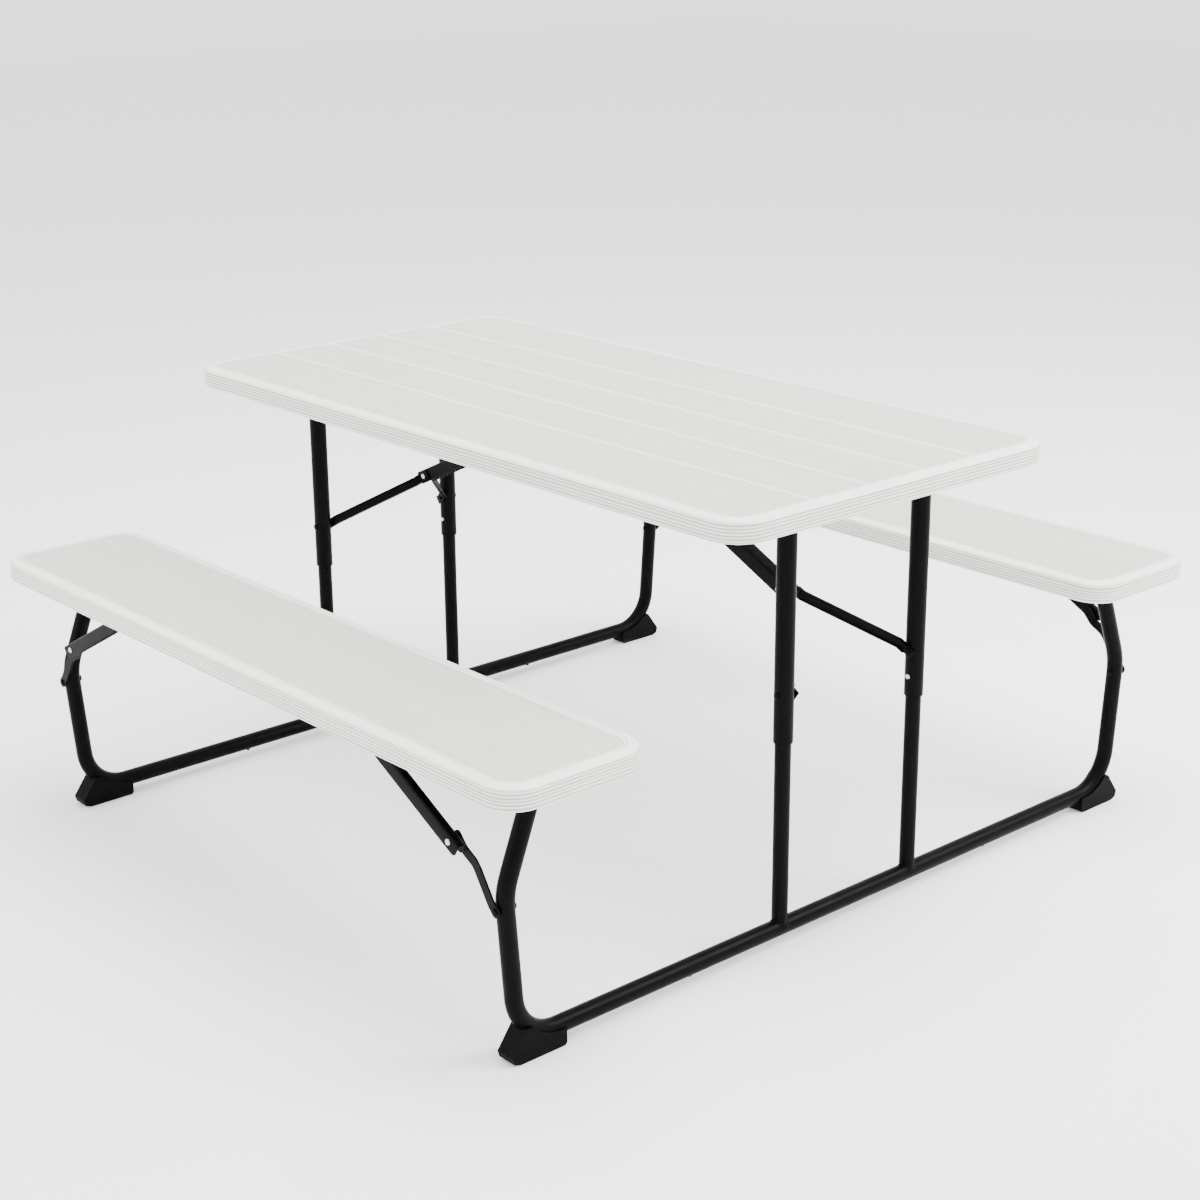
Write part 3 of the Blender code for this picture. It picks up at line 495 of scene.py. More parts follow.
def dome(base, head, rise, steps=6):
    """Profile of a domed head that starts at a distance along its axis."""
    arc = [(i / steps) * math.pi / 2 for i in range(steps + 1)]
    return [(base + rise * math.sin(a), head * math.cos(a)) for a in arc[:-1]] + [(base + rise, 0.0)]


def tube(radius, wall, start, heading, moves, sides):
    """Bent tube: a circle extruded along straight runs and spun round bends, then given a wall.

    moves holds ("run", length) and ("bend", radius, angle, towards) entries."""
    place = Vector(start)
    heading = Vector(heading).normalized()
    turn = heading.to_track_quat("Z", "Y").to_matrix().to_4x4()
    shape = bmesh.new()
    ring = bmesh.ops.create_circle(
        shape, cap_ends=False, radius=radius, segments=sides, matrix=Matrix.Translation(place) @ turn
    )["verts"]
    edges = list({edge for vert in ring for edge in vert.link_edges})
    for move in moves:
        if move[0] == "run":
            grown = bmesh.ops.extrude_edge_only(shape, edges=edges)["geom"]
            ring = [part for part in grown if isinstance(part, bmesh.types.BMVert)]
            bmesh.ops.translate(shape, verts=ring, vec=heading * move[1])
            place = place + heading * move[1]
            edges = [part for part in grown if isinstance(part, bmesh.types.BMEdge)
                     and all(vert in ring for vert in part.verts)]
            continue
        _, bend, angle, towards = move
        towards = Vector(towards)
        towards = (towards - heading * towards.dot(heading)).normalized()
        centre = place + towards * bend
        axis = heading.cross(towards)
        steps = max(3, round(math.degrees(angle) / 5))
        last = bmesh.ops.spin(
            shape, geom=ring + edges, cent=centre, axis=axis, angle=angle, steps=steps, use_merge=False
        )["geom_last"]
        ring = [part for part in last if isinstance(part, bmesh.types.BMVert)]
        edges = [part for part in last if isinstance(part, bmesh.types.BMEdge)]
        rotation = Matrix.Rotation(angle, 3, axis)
        place = centre + rotation @ (place - centre)
        heading = rotation @ heading
    bmesh.ops.recalc_face_normals(shape, faces=shape.faces)
    shape.normal_update()
    outward = ring_outwards(ring, place)
    bmesh.ops.solidify(shape, geom=shape.faces[:], thickness=wall if outward else -wall)
    return shape


def ring_outwards(ring, centre):
    """Whether the normals at an end ring point away from the tube's axis."""
    return sum(vert.normal.dot(vert.co - centre) for vert in ring) > 0


def bead_ring(centre, ring_radius, bed_radius, bead, sides=48):
    """Weld bead where an upright tube meets a level one that runs along Y."""
    shape = bmesh.new()
    ring = bmesh.ops.create_circle(shape, cap_ends=False, radius=bead, segments=10)["verts"]
    lean = Matrix.Rotation(math.pi / 2, 4, "X")
    bmesh.ops.transform(shape, matrix=Matrix.Translation((ring_radius, 0, 0)) @ lean, verts=ring)
    edges = shape.edges[:]
    bmesh.ops.spin(
        shape, geom=ring + edges, cent=(0, 0, 0), axis=(0, 0, 1), angle=2 * math.pi,
        steps=sides, use_merge=True,
    )
    for vert in shape.verts:
        across = max(-bed_radius, min(bed_radius, vert.co.x))
        ripple = 0.12 * bead * math.sin(24 * math.atan2(vert.co.y, vert.co.x))
        vert.co.z += math.sqrt(bed_radius**2 - across**2) + ripple
    bmesh.ops.translate(shape, verts=shape.verts, vec=centre)
    return shape


def board(name, node, body, planks, rim, corner):
    """Blow-moulded board: round edge and shoulder, planks on top, and a pocketed recess below."""
    settings = bpy.context.scene.picnic_board
    low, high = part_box(node)
    steps = shoulder_steps(settings)
    wall_top = Vector((high.x, high.y, high.z - sum(rise for _, rise in steps)))
    shape = block(wall_top - low, (low + wall_top) / 2)
    round_edges(shape, edges_along(shape, 2), corner, 14)
    bottom_rim = [e for e in shape.edges if all(abs(v.co.z - low.z) < 1e-6 for v in e.verts)]
    bmesh.ops.bevel(
        shape, geom=bottom_rim, offset=settings.lower_edge, segments=10, profile=0.5,
        affect="EDGES", material=-1,
    )
    top = max(shape.faces, key=lambda face: (round(face.calc_center_median().z, 5), face.calc_area()))
    for inwards, rise in steps + [(settings.border, -BORDER_STEP)]:
        bmesh.ops.inset_region(shape, faces=[top], thickness=inwards, depth=rise, use_even_offset=True)
    if planks > 1:
        cut_planks(shape, top, planks, settings)
    under = min(shape.faces, key=lambda face: (round(face.calc_center_median().z, 5), -face.calc_area()))
    bmesh.ops.inset_region(shape, faces=[under], thickness=rim - settings.lower_edge - 0.004,
                           use_even_offset=True)
    bmesh.ops.inset_region(shape, faces=[under], thickness=0.004, depth=-RECESS_DEPTH, use_even_offset=True)
    cut_pockets(shape, under, settings, rim)
    obj = make(name, shape, plastic(), body, [node], BOARD_SHARP_ANGLE)
    softened(obj, 0.0006, 2, 55)


def shoulder_steps(settings):
    """Insets, as (inwards, upwards), from a board's side over its round edge and its shoulder."""
    slope = math.atan2(settings.shoulder_fall, settings.shoulder)
    turns = [(math.pi / 2 - slope) * step / 9 for step in range(10)]
    radius = settings.upper_edge
    arc = [(radius * (1 - math.cos(turn)), radius * math.sin(turn)) for turn in turns]
    steps = [(after[0] - before[0], after[1] - before[1]) for before, after in zip(arc, arc[1:])]
    steps.append((settings.shoulder * 0.5, settings.shoulder_fall * 0.5))
    run = settings.shoulder * 0.1
    return steps + [(run, run * math.tan(slope * share)) for share in (0.85, 0.68, 0.5, 0.33, 0.16)]


def around(face):
    """Face with its edges and vertices, as bisecting wants them."""
    return [face, *face.edges, *face.verts]


def cut_planks(shape, top, planks, settings):
    """Grooves along the board, between moulded planks."""
    strips = [top]
    half = settings.groove_width / 2
    for index in range(planks - 1):
        middle = (index - (planks - 2) / 2) * settings.plank_pitch
        for y in (middle - half, middle + half):
            strips = bisect_faces(shape, strips, (0, y, 0), (0, 1, 0))
    breadths = {face: [vert.co.y for vert in face.verts] for face in strips}
    grooves = [face for face, ys in breadths.items() if max(ys) - min(ys) < settings.groove_width * 1.5]
    bmesh.ops.inset_individual(
        shape, faces=grooves, thickness=half * 0.9, depth=-settings.groove_depth, use_even_offset=True
    )


def bisect_faces(shape, faces, point, normal):
    """Cut faces by a plane, and return the faces that they become."""
    known = set(shape.faces)
    geom = list({part for face in faces for part in around(face)})
    bmesh.ops.bisect_plane(shape, geom=geom, dist=1e-7, plane_co=point, plane_no=normal)
    return [face for face in faces if face.is_valid] + [f for f in shape.faces if f not in known]


def cut_pockets(shape, under, settings, rim):
    """Rows of shallow square pockets in the recess, where the two skins of the board meet."""
    xs = [v.co.x for v in under.verts]
    ys = [v.co.y for v in under.verts]
    margin = rim * 0.5
    cells = [under]
    for values, axis in ((xs, 0), (ys, 1)):
        low, high = min(values) + margin, max(values) - margin
        count = max(1, round((high - low) / settings.pocket_pitch))
        for index in range(count + 1):
            point = Vector((0, 0, 0))
            point[axis] = low + (high - low) * index / count
            normal = Vector((0, 0, 0))
            normal[axis] = 1
            cells = bisect_faces(shape, cells, point, normal)
    cells = [face for face in cells if len(face.verts) == 4
             and face.calc_area() > 0.5 * settings.pocket_pitch**2]
    border = settings.pocket_pitch * 0.27
    bmesh.ops.inset_individual(shape, faces=cells, thickness=border, use_even_offset=True)
    bmesh.ops.inset_individual(
        shape, faces=cells, thickness=0.005, depth=-settings.pocket_depth, use_even_offset=True
    )


def softened(obj, width, segments=2, angle=30):
    """Round every sharp edge of a finished piece."""
    soften = obj.modifiers.new("Soft edges", "BEVEL")
    soften.width = width
    soften.segments = segments
    soften.limit_method = "ANGLE"
    soften.angle_limit = math.radians(angle)
    return obj


def u_channel(matrix, length, back, width, depth, wall, settings):
    """Pressed U channel along local X, open below, with round corners at its ends."""
    shape = block((back + length, width, depth), ((length - back) / 2, 0, 0))
    top = [e for e in edges_along(shape, 0) if e.verts[0].co.z > 0]
    round_edges(shape, top, settings.fold_radius, 4)
    ends = [e for e in shape.edges
            if all(v.co.z < -depth / 2 + 1e-6 for v in e.verts)
            and abs(e.verts[0].co.x - e.verts[1].co.x) < 1e-6]
    round_edges(shape, ends, depth * 0.36, 6)
    gone = [f for f in shape.faces if abs(f.normal.y) < 0.01
            and (f.normal.z < -0.01 or abs(f.normal.x) > 0.5)]
    bmesh.ops.delete(shape, geom=gone, context="FACES")
    shape.normal_update()
    bmesh.ops.solidify(shape, geom=shape.faces[:], thickness=wall)
    bmesh.ops.transform(shape, matrix=matrix, verts=shape.verts)
    return shape


def strip(matrix, line, width, low, high, round_ends=True):
    """Flat strip in the local XZ plane along a line of points, from local Y low to high."""
    shape = bmesh.new()
    points = [Vector((a, 0, b)) for a, b in line]
    left, right = [], []
    for index, point in enumerate(points):
        before = (point - points[index - 1]).normalized() if index else None
        after = (points[index + 1] - point).normalized() if index + 1 < len(points) else None
        ahead = before or after
        mean = (ahead + (after or before)).normalized()
        side = Vector((-mean.z, 0, mean.x))
        reach = width / 2 / max(0.5, mean.dot(ahead))
        left.append(shape.verts.new(point + side * reach))
        right.append(shape.verts.new(point - side * reach))
    face = shape.faces.new(left + right[::-1])
    grown = bmesh.ops.extrude_face_region(shape, geom=[face])["geom"]
    bmesh.ops.translate(shape, verts=[g for g in grown if isinstance(g, bmesh.types.BMVert)],
                        vec=(0, high - low, 0))
    bmesh.ops.translate(shape, verts=shape.verts, vec=(0, low, 0))
    if round_ends:
        ends = (points[0].x, points[-1].x)
        corners = [e for e in edges_along(shape, 1) if min(abs(e.verts[0].co.x - x) for x in ends) < 0.004]
        bends = [e for e in edges_along(shape, 1) if e not in corners]
        round_edges(shape, corners, width * 0.46, 6)
        bends = [e for e in bends if e.is_valid]
        round_edges(shape, bends, width * 0.3, 4)
    bmesh.ops.transform(shape, matrix=matrix, verts=shape.verts)
    return shape


class PICNIC_OT_boards(bpy.types.Operator):
    """Make the tabletop and the two bench boards"""

    bl_idname = "picnic.boards"
    bl_label = "Boards"

    def execute(self, context):
        planks = context.scene.picnic_board.planks
        board("tabletop_board", "tabletop", "table", planks, TABLE_RIM, TABLE_CORNER)
        for side, _ in SIDES:
            board(f"{side}_bench_board", f"{side}_bench", "benches", 1, BENCH_RIM, BENCH_CORNER)
        return {"FINISHED"}


class PICNIC_OT_base_rails(bpy.types.Operator):
    """Make the ground rails with their posts and weld beads"""

    bl_idname = "picnic.base_rails"
    bl_label = "Base rails"

    def execute(self, context):
        settings = context.scene.picnic_tube
        for end, sx in ENDS:
            node = f"{end}_base_rail"
            low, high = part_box(node)
            radius = (high.x - low.x) / 2
            height = low.z + radius
            x = sx * FRAME_X
            face = settings.splice - SEAT_CLEARANCE
            sides = settings.sides
            shape = tube(radius, settings.wall, (x, -face, height), (0, 1, 0), [("run", 2 * face)], sides)
            lip = radius - settings.wall - 0.0004
            inner = tube(lip, settings.wall, (x, low.y, height), (0, 1, 0), [("run", high.y - low.y)], sides)
            join(shape, inner)
            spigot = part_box(f"{end}_left_spigot")
            post_radius = (spigot[1].x - spigot[0].x) / 2
            for side, _ in SIDES:
                y = middle_of(f"{end}_{side}_spigot").y
                start = (x, y, height + radius * 0.55)
                run = high.z - start[2]
                join(shape, tube(post_radius, settings.wall, start, (0, 0, 1), [("run", run)], sides))
                join(shape, bead_ring((x, y, height), post_radius + 0.0004, radius, settings.bead))
            make(f"{end}_rail_and_posts", shape, coat(), f"{end}_frame", [node])
        return {"FINISHED"}


class PICNIC_OT_legs(bpy.types.Operator):
    """Make the four bent bench legs"""

    bl_idname = "picnic.legs"
    bl_label = "Bench legs"

    def execute(self, context):
        settings = context.scene.picnic_tube
        for end, sx in ENDS:
            for side, sy in SIDES:
                node = f"{end}_{side}_leg"
                radius, start, heading, moves = leg_path(node, sx, sy, settings)
                shape = tube(radius, settings.wall, start, heading, moves, settings.sides)
                make(f"{end}_{side}_bench_leg", shape, coat(), f"{end}_frame", [node])
        return {"FINISHED"}


def leg_path(node, sx, sy, settings):
    """Radius, start and heading of a leg's tube, and its runs and bends from its splice to its top."""
    low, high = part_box(node)
    radius = (high.x - low.x) / 2
    height = low.z + radius
    bend, knee = settings.foot_bend, settings.knee_bend
    outward = math.atan2(
        settings.knee_reach - settings.foot_reach, settings.knee_height - height - bend
    )
    level = settings.foot_reach - bend - settings.splice
    foot_end_y = settings.foot_reach - bend + bend * math.cos(outward)
    foot_end_z = height + bend - bend * math.sin(outward)
    half = knee * math.tan((outward + settings.lean) / 2)
    rise = math.hypot(settings.knee_reach - foot_end_y, settings.knee_height - foot_end_z) - half
    end_z = high.z - radius * math.sin(settings.lean)
    upper = (end_z - settings.knee_height) / math.cos(settings.lean) - half
    moves = [
        ("run", level),
        ("bend", bend, math.pi / 2 - outward, (0, 0, 1)),
        ("run", rise),
        ("bend", knee, outward + settings.lean, (0, -sy, 0)),
        ("run", upper),
    ]
    return radius, (sx * FRAME_X, sy * settings.splice, height), (0, sy, 0), moves


class PICNIC_OT_feet(bpy.types.Operator):
    """Make the four moulded feet"""

    bl_idname = "picnic.feet"
    bl_label = "Feet"

    def execute(self, context):
        edge = context.scene.picnic_fitting.foot_edge
        tubes = context.scene.picnic_tube
        for end, sx in ENDS:
            for side, sy in SIDES:
                node = f"{end}_{side}_foot"
                radius, start, heading, moves = leg_path(f"{end}_{side}_leg", sx, sy, tubes)
                shape = foot_shape(node, radius, start[2], sy, tubes)
                obj = make(f"{end}_{side}_shoe", shape, rubber(), f"{end}_frame", [node])
                carve(obj, radius + SEAT_CLEARANCE, start, heading, moves[:3])
                softened(obj, edge, 3, 35)
        return {"FINISHED"}


def foot_shape(node, radius, height, sy, tubes):
    """Side view of a foot under a leg of some radius and height, extruded to its width."""
    low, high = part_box(node)
    bend = tubes.foot_bend
    heel = max(abs(low.y), abs(high.y))
    toe = min(abs(low.y), abs(high.y))
    centre = (tubes.foot_reach - bend, height + bend)
    start = math.asin((high.z - centre[1]) / bend)
    outline = [(toe + 0.004, low.z), (heel - 0.014, low.z), (heel - 0.003, low.z + 0.004),
               (heel, low.z + 0.014)]
    outline.append((centre[0] + math.cos(start) * (bend + radius) + 0.001, high.z))
    steps = 24
    for step in range(steps + 1):
        angle = start + (-math.pi / 2 - start) * step / steps
        outline.append((centre[0] + bend * math.cos(angle), centre[1] + bend * math.sin(angle)))
    outline += [(toe, height), (toe, low.z + 0.004)]
    shape = bmesh.new()
    face = shape.faces.new([shape.verts.new((low.x, sy * y, z)) for y, z in outline])
    grown = bmesh.ops.extrude_face_region(shape, geom=[face])["geom"]
    moved = [part for part in grown if isinstance(part, bmesh.types.BMVert)]
    bmesh.ops.translate(shape, verts=moved, vec=(high.x - low.x, 0, 0))
    return shape


def carve(obj, radius, start, heading, moves):
    """Cut the seat of a bent tube out of a piece, and keep the result."""
    shape = tube(radius, radius * 0.98, start, heading, moves, 48)
    bmesh.ops.recalc_face_normals(shape, faces=shape.faces)
    mesh = bpy.data.meshes.new("seat")
    shape.to_mesh(mesh)
    shape.free()
    cutter = bpy.data.objects.new("seat", mesh)
    bpy.context.scene.collection.objects.link(cutter)
    apply_boolean(obj, cutter)


def apply_boolean(obj, cutter):
    """Cut a helper out of a piece for good, and remove the helper."""
    modifier = obj.modifiers.new("Cut", "BOOLEAN")
    modifier.operation = "DIFFERENCE"
    modifier.object = cutter
    bpy.context.view_layer.update()
    graph = bpy.context.evaluated_depsgraph_get()
    mesh = bpy.data.meshes.new_from_object(obj.evaluated_get(graph))
    obj.modifiers.remove(modifier)
    old = obj.data
    obj.data = mesh
    bpy.data.meshes.remove(old)
    mesh.name = obj.name
    bpy.data.objects.remove(cutter)
    mesh.shade_smooth()
    mesh.set_sharp_from_angle(angle=SHARP_ANGLE)


class PICNIC_OT_table_legs(bpy.types.Operator):
    """Make the table legs: hinge tubes, sleeves and weld beads"""

    bl_idname = "picnic.table_legs"
    bl_label = "Table legs"

    def execute(self, context):
        settings = context.scene.picnic_tube
        for end, sx in ENDS:
            node = f"{end}_table_leg"
            low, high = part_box(node)
            radius = (high.x - low.x) / 2
            hinge_radius = high.z - TABLE_HINGE_Z
            x = sx * FRAME_X
            sides = settings.sides
            shape = tube(
                hinge_radius, settings.wall, (x, low.y, TABLE_HINGE_Z), (0, 1, 0),
                [("run", high.y - low.y)], sides,
            )
            for side, _ in SIDES:
                y = middle_of(f"{end}_{side}_spigot").y
                run = TABLE_HINGE_Z - low.z - hinge_radius * 0.4
                join(shape, tube(radius, settings.wall, (x, y, low.z), (0, 0, 1), [("run", run)], sides))
                bead = bead_ring((x, y, TABLE_HINGE_Z), radius, hinge_radius, settings.bead)
                flip = Matrix.Translation((0, 0, TABLE_HINGE_Z)) @ Matrix.Scale(-1, 4, (0, 0, 1))
                flip = flip @ Matrix.Translation((0, 0, -TABLE_HINGE_Z))
                bmesh.ops.transform(bead, matrix=flip, verts=bead.verts)
                join(shape, bead)
            obj = make(f"{end}_sleeved_leg", shape, coat(), f"{end}_table_legs", [node])
            softened(obj, 0.0005, 2, 60)
        return {"FINISHED"}


def slope_vectors(sx, slope, downwards):
    """Directions along a brace link and square to it, in the vertical plane of the brace."""
    sign = 1 if downwards else -1
    along = Vector((sign * sx * math.cos(slope), 0, -sign * math.sin(slope)))
    return along, Vector((sx * math.sin(slope), 0, math.cos(slope)))


class PICNIC_OT_braces(bpy.types.Operator):
    """Make the brace channels, links and arms"""

    bl_idname = "picnic.braces"
    bl_label = "Braces"

    def execute(self, context):
        settings = context.scene.picnic_fitting
        for end, sx in ENDS:
            matrix = frame_along((sx * TABLE_ANCHOR_X, 0, TABLE_HINGE_Z),
                                 *slope_vectors(sx, TABLE_CHANNEL_SLOPE, True))
            node = f"{end}_table_channel"
            shape = u_channel(matrix, TABLE_CHANNEL + CHANNEL_OVERHANG, CHANNEL_BACK, size_of(node).y,
                              TABLE_CHANNEL_DEPTH, TABLE_CHANNEL_WALL, settings)
            obj = make(f"{end}_table_brace_channel", shape, coat(), f"{end}_brace_channel", [node])
            softened(obj, 0.0005, 2, 50)
            for side, sy in SIDES:
                self.bench_brace(end, sx, side, settings)
                self.table_arm(end, sx, side, sy, settings)
        return {"FINISHED"}

    def bench_brace(self, end, sx, side, settings):
        """Channel and jogged link of one bench brace."""
        node = f"{end}_{side}_bench_channel"
        place = (sx * BENCH_ANCHOR_X, middle_of(node).y, BENCH_HINGE_Z)
        matrix = frame_along(place, *slope_vectors(sx, BENCH_CHANNEL_SLOPE, True))
        shape = u_channel(matrix, BENCH_CHANNEL + CHANNEL_OVERHANG, CHANNEL_BACK, size_of(node).y,
                          BENCH_CHANNEL_DEPTH, BENCH_CHANNEL_WALL, settings)
        obj = make(f"{end}_{side}_bench_brace_channel", shape, coat(), f"{end}_{side}_channel", [node])
        softened(obj, 0.0005, 2, 50)
        node = f"{end}_{side}_bench_link"
        low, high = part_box(node)
        matrix = frame_along((sx * FRAME_X, 0, BRACE_PIVOT_Z), *slope_vectors(sx, BENCH_LINK_SLOPE, False))
        bends = [BENCH_LINK * share for share in LINK_BENDS]
        line = [(-LINK_BACK, 0.0), (bends[0], 0.0), (bends[1], LINK_JOG), (bends[2], LINK_JOG),
                (bends[3], 0.0), (BENCH_LINK + KNEE_OVERHANG, 0.0)]
        local = sorted((matrix.inverted() @ Vector((0, y, 0))).y for y in (low.y, high.y))
        shape = strip(matrix, line, LINK_WIDTH, *local)
        obj = make(f"{end}_{side}_jogged_link", shape, coat(), f"{end}_{side}_link", [node])
        softened(obj, settings.strip_edge, 2, 50)

    def table_arm(self, end, sx, side, sy, settings):
        """Arm of the table brace: a bent plate with two folded lips, from a sleeve to the apex."""
        node = f"{end}_{side}_brace_arm"
        matrix = frame_along((sx * FRAME_X, 0, ARM_PIVOT_Z), *slope_vectors(sx, TABLE_ARM_SLOPE, False))
        low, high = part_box(node)
        outer = max(abs(low.y), abs(high.y)) - 0.0015
        inner = min(abs(low.y), abs(high.y)) + 0.0015
        flip = matrix.to_3x3().col[1].y
        line = [(-0.011, outer), (0.014, outer), (TABLE_ARM - 0.020, inner),
                (TABLE_ARM + KNEE_OVERHANG, inner)]
        plan = Matrix(((1, 0, 0, 0), (0, 0, sy * flip, 0), (0, -1, 0, 0), (0, 0, 0, 1)))
        shape = strip(matrix @ plan, line, 0.0022, -0.008, 0.008, False)
        inset = settings.arm_lip / 2 - 0.001
        lips = [(0.004, outer - inset * 0.3), (0.018, outer - inset * 1.2),
                (TABLE_ARM - 0.022, inner + inset * 1.1), (TABLE_ARM - 0.010, inner + inset * 0.3)]
        for rise in (-0.0080, 0.0064):
            join(shape, strip(matrix @ plan, lips, settings.arm_lip, rise, rise + 0.0016, False))
        obj = make(f"{end}_{side}_folded_arm", shape, coat(), f"{end}_brace_arms", [node])
        softened(obj, 0.0005, 2, 50)


class PICNIC_OT_fasteners(bpy.types.Operator):
    """Make the pins, bolts, rivets, snap buttons and splice screws"""

    bl_idname = "picnic.fasteners"
    bl_label = "Fasteners"

    def execute(self, context):
        settings = context.scene.picnic_fitting
        for end, sx in ENDS:
            for side, sy in SIDES:
                for node, body, head in (
                    ("leg_pin", "benches", 0.0025),
                    ("link_bolt", f"{end}_frame", 0.0024),
                    ("arm_bolt", f"{end}_table_legs", 0.0024),
                ):
                    self.pin(f"{end}_{side}_{node}", body, head)
                self.button(end, side, sy)
                self.rivets(end, sx, side, sy, settings)
                self.splice_screw(end, sx, side, sy)
        return {"FINISHED"}

    def pin(self, node, body, head):
        """Headed pin along Y, domed at both ends."""
        low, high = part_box(node)
        radius = (high.x - low.x) / 2
        middle = (low + high) / 2
        length = high.y - low.y
        rise = head * 0.75
        shank = radius * 0.55
        first = [(length - along, width) for along, width in reversed(dome(length - rise, radius, rise))]
        profile = first + [(head, radius), (head, shank), (length - head, shank), (length - head, radius)]
        profile += dome(length - rise, radius, rise)
        shape = turned(profile, (middle.x, low.y, middle.z), (0, 1, 0))
        make(f"{node}_domed", shape, coat(), body, [node])

    def button(self, end, side, sy):
        """Snap button, bright and domed, with its flange inside the post."""
        node = f"{end}_{side}_snap_button"
        low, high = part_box(node)
        middle = (low + high) / 2
        flange = (high.x - low.x) / 2
        length = high.y - low.y
        stem = flange * 0.72
        start = (middle.x, high.y if sy > 0 else low.y, middle.z)
        profile = [(0, 0), (0, flange), (0.0028, flange), (0.0028, stem)]
        profile += dome(length - 0.0026, stem, 0.0026)
        shape = turned(profile, start, (0, -sy, 0))
        make(f"{end}_{side}_snap_button_domed", shape, bright(), f"{end}_{side}_button", [node])

    def rivets(self, end, sx, side, sy, settings):
        """Bright rivet heads at the knees of both braces."""
        head, rise = settings.rivet_head, settings.rivet_rise
        along, _ = slope_vectors(sx, BENCH_LINK_SLOPE, False)
        knee = Vector((sx * FRAME_X, 0, BRACE_PIVOT_Z)) + along * BENCH_LINK
        low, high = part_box(f"{end}_{side}_bench_channel")
        knee.y = high.y if sy > 0 else low.y
        profile = [(-0.001, 0), (-0.001, head * 0.5), (0, head * 0.5), (0, head)] + dome(0.0004, head, rise)
        shape = turned(profile, knee, (0, sy, 0))
        make(f"{end}_{side}_bench_rivet", shape, bright(), f"{end}_{side}_channel", ())
        along, _ = slope_vectors(sx, TABLE_ARM_SLOPE, False)
        knee = Vector((sx * FRAME_X, 0, ARM_PIVOT_Z)) + along * TABLE_ARM
        low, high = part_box(f"{end}_{side}_brace_arm")
        knee.y = (low.y if sy > 0 else high.y) + sy * 0.0026
        shape = turned(profile, knee, (0, sy, 0))
        make(f"{end}_{side}_apex_rivet", shape, bright(), f"{end}_brace_arms", ())

    def splice_screw(self, end, sx, side, sy):
        """Pan-headed screw under the rail splice."""
        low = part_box(f"{end}_{side}_leg")[0]
        y = sy * (bpy.context.scene.picnic_tube.splice + 0.018)
        start = (sx * FRAME_X, y, low.z + 0.002)
        profile = [(0, 0), (0, 0.0045), (0.0022, 0.0045)] + dome(0.0026, 0.0045, 0.0026)
        shape = turned(profile, start, (0.35 * sx, 0, -1))
        make(f"{end}_{side}_splice_screw", shape, coat(), f"{end}_frame")


class PICNIC_OT_brackets(bpy.types.Operator):
    """Finish the brackets and the side rails, and coat what stays from the frame"""

    bl_idname = "picnic.brackets"
    bl_label = "Brackets and rails"

    def execute(self, context):
        pressed = [(f"{end}_{side}_bench_bracket", "benches") for end, _ in ENDS for side, _ in SIDES]
        pressed += [("centre_brace_bracket", "table")]
        pressed += [(f"{side}_side_rail", "table") for side, _ in SIDES]
        for node, body in pressed:
            shape = bmesh.new()
            shape.from_mesh(frame["nodes"][node].data)
            bmesh.ops.remove_doubles(shape, verts=shape.verts, dist=2e-5)
            bmesh.ops.dissolve_limit(
                shape, angle_limit=math.radians(1), verts=shape.verts, edges=shape.edges
            )
            obj = make(f"{node}_pressed", shape, coat(), body, [node])
            softened(obj, 0.0004, 2, 40)
        for end, _ in ENDS:
            for side, _ in SIDES:
                coat_node(f"{end}_{side}_spigot", coat())
        return {"FINISHED"}


def coat_node(node, material):
    """Give a frame node a better material."""
    for slot in frame["nodes"][node].material_slots:
        slot.material = material


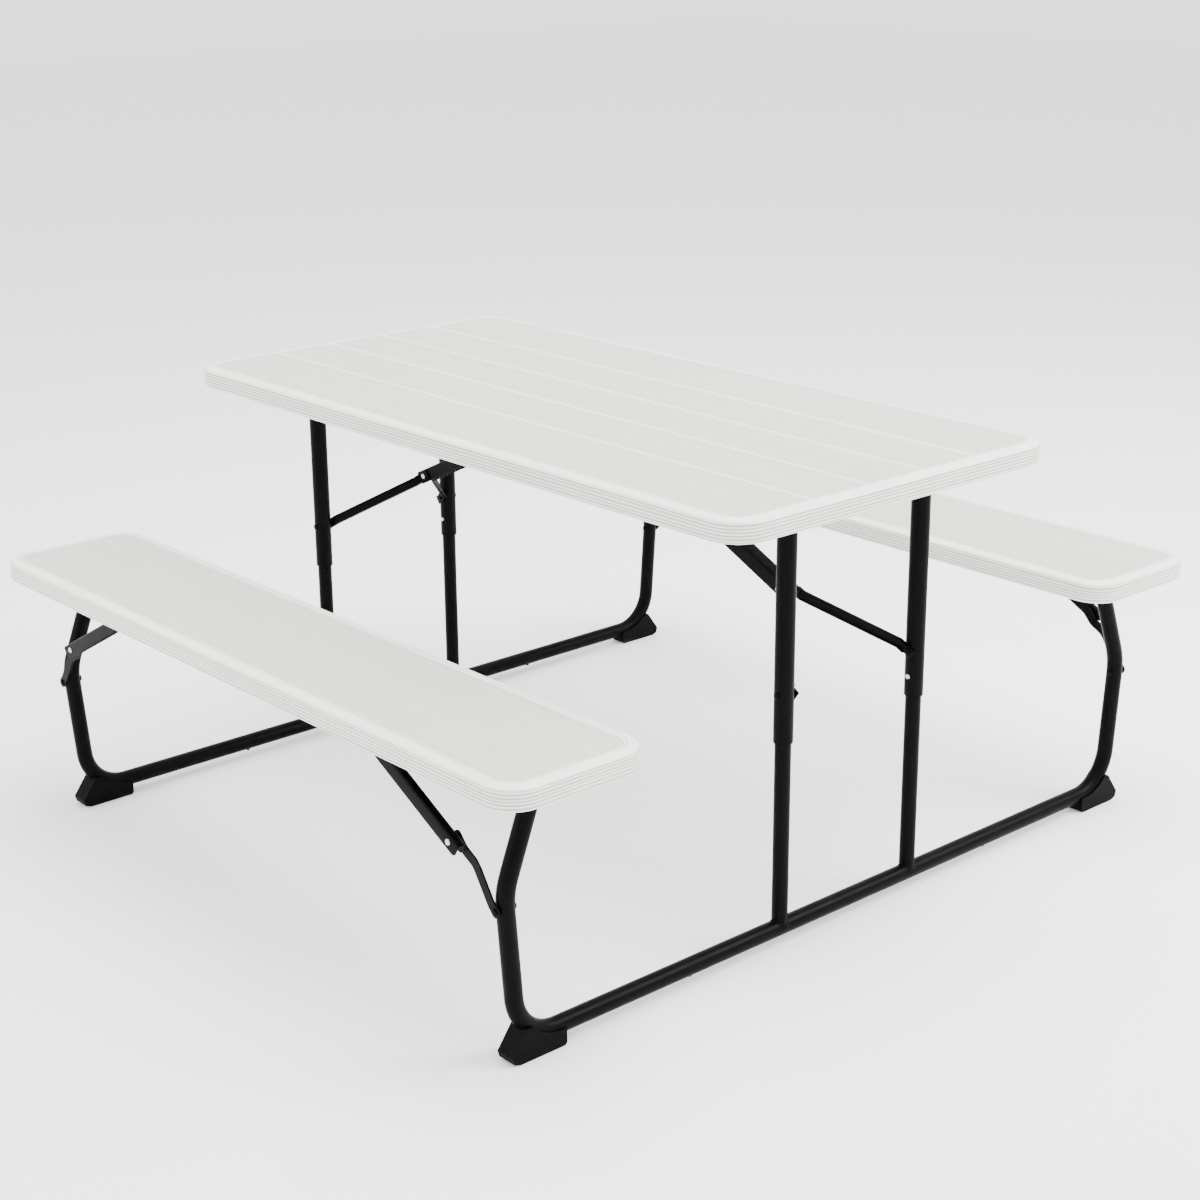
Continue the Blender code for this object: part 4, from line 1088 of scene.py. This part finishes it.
class PICNIC_OT_stage(bpy.types.Operator):
    """Set out the floor, the lights and the camera"""

    bl_idname = "picnic.stage"
    bl_label = "Stage"

    def execute(self, context):
        settings = context.scene.picnic_stage
        floor = block((30, 30, 0.02), (0, 0, -0.0102))
        mesh = bpy.data.meshes.new("studio_floor")
        floor.to_mesh(mesh)
        floor.free()
        obj = bpy.data.objects.new("studio_floor", mesh)
        context.scene.collection.objects.link(obj)
        mesh.materials.append(floor_paint(settings.floor_colour))
        world = context.scene.world or bpy.data.worlds.new("studio")
        context.scene.world = world
        world.use_nodes = True
        sky = world.node_tree.nodes["Background"]
        sky.inputs["Color"].default_value = linear("#FFFFFF")
        sky.inputs["Strength"].default_value = SKY_STRENGTH
        for softbox in SOFTBOXES:
            self.softbox(*softbox)
        self.camera(settings)
        return {"FINISHED"}

    def softbox(self, name, place, target, size, power):
        """Square area light that points at a target."""
        light = bpy.data.lights.new(name, "AREA")
        light.size = size
        light.energy = power
        obj = bpy.data.objects.new(name, light)
        obj.location = place
        obj.rotation_euler = (Vector(target) - Vector(place)).to_track_quat("-Z", "Y").to_euler()
        bpy.context.scene.collection.objects.link(obj)

    def camera(self, settings):
        """Camera at the height and heading of a standing photographer."""
        lens = bpy.data.cameras.new("camera")
        lens.lens = settings.lens
        lens.sensor_width = 36.0
        obj = bpy.data.objects.new("camera", lens)
        heading = Matrix.Rotation(settings.azimuth, 4, "Z")
        tilt = Matrix.Rotation(math.pi / 2 - settings.elevation, 4, "X")
        roll = Matrix.Rotation(settings.roll, 4, "Z")
        obj.matrix_world = Matrix.Translation(settings.camera) @ heading @ tilt @ roll
        bpy.context.scene.collection.objects.link(obj)
        bpy.context.scene.camera = obj


class PICNIC_PT_panel(bpy.types.Panel):
    """Picnic table panel in the 3D view's sidebar"""

    bl_label = "Picnic table"
    bl_idname = "PICNIC_PT_panel"
    bl_space_type = "VIEW_3D"
    bl_region_type = "UI"
    bl_category = "Picnic table"

    def draw(self, context):
        for operator in OPERATORS:
            self.layout.operator(operator.bl_idname)


SETTINGS = (
    ("picnic_board", BoardSettings),
    ("picnic_tube", TubeSettings),
    ("picnic_fitting", FittingSettings),
    ("picnic_stage", StageSettings),
)
OPERATORS = (
    PICNIC_OT_stage,
    PICNIC_OT_boards,
    PICNIC_OT_base_rails,
    PICNIC_OT_legs,
    PICNIC_OT_feet,
    PICNIC_OT_table_legs,
    PICNIC_OT_braces,
    PICNIC_OT_fasteners,
    PICNIC_OT_brackets,
)


def register():
    for name, group in SETTINGS:
        bpy.utils.register_class(group)
        setattr(bpy.types.Scene, name, PointerProperty(type=group))
    for operator in OPERATORS:
        bpy.utils.register_class(operator)
    bpy.utils.register_class(PICNIC_PT_panel)


def unregister():
    bpy.utils.unregister_class(PICNIC_PT_panel)
    for operator in reversed(OPERATORS):
        bpy.utils.unregister_class(operator)
    for name, group in reversed(SETTINGS):
        delattr(bpy.types.Scene, name)
        bpy.utils.unregister_class(group)


def main():
    register()
    for operator in OPERATORS:
        group, name = operator.bl_idname.split(".")
        getattr(getattr(bpy.ops, group), name)()


if __name__ == "__main__":
    main()
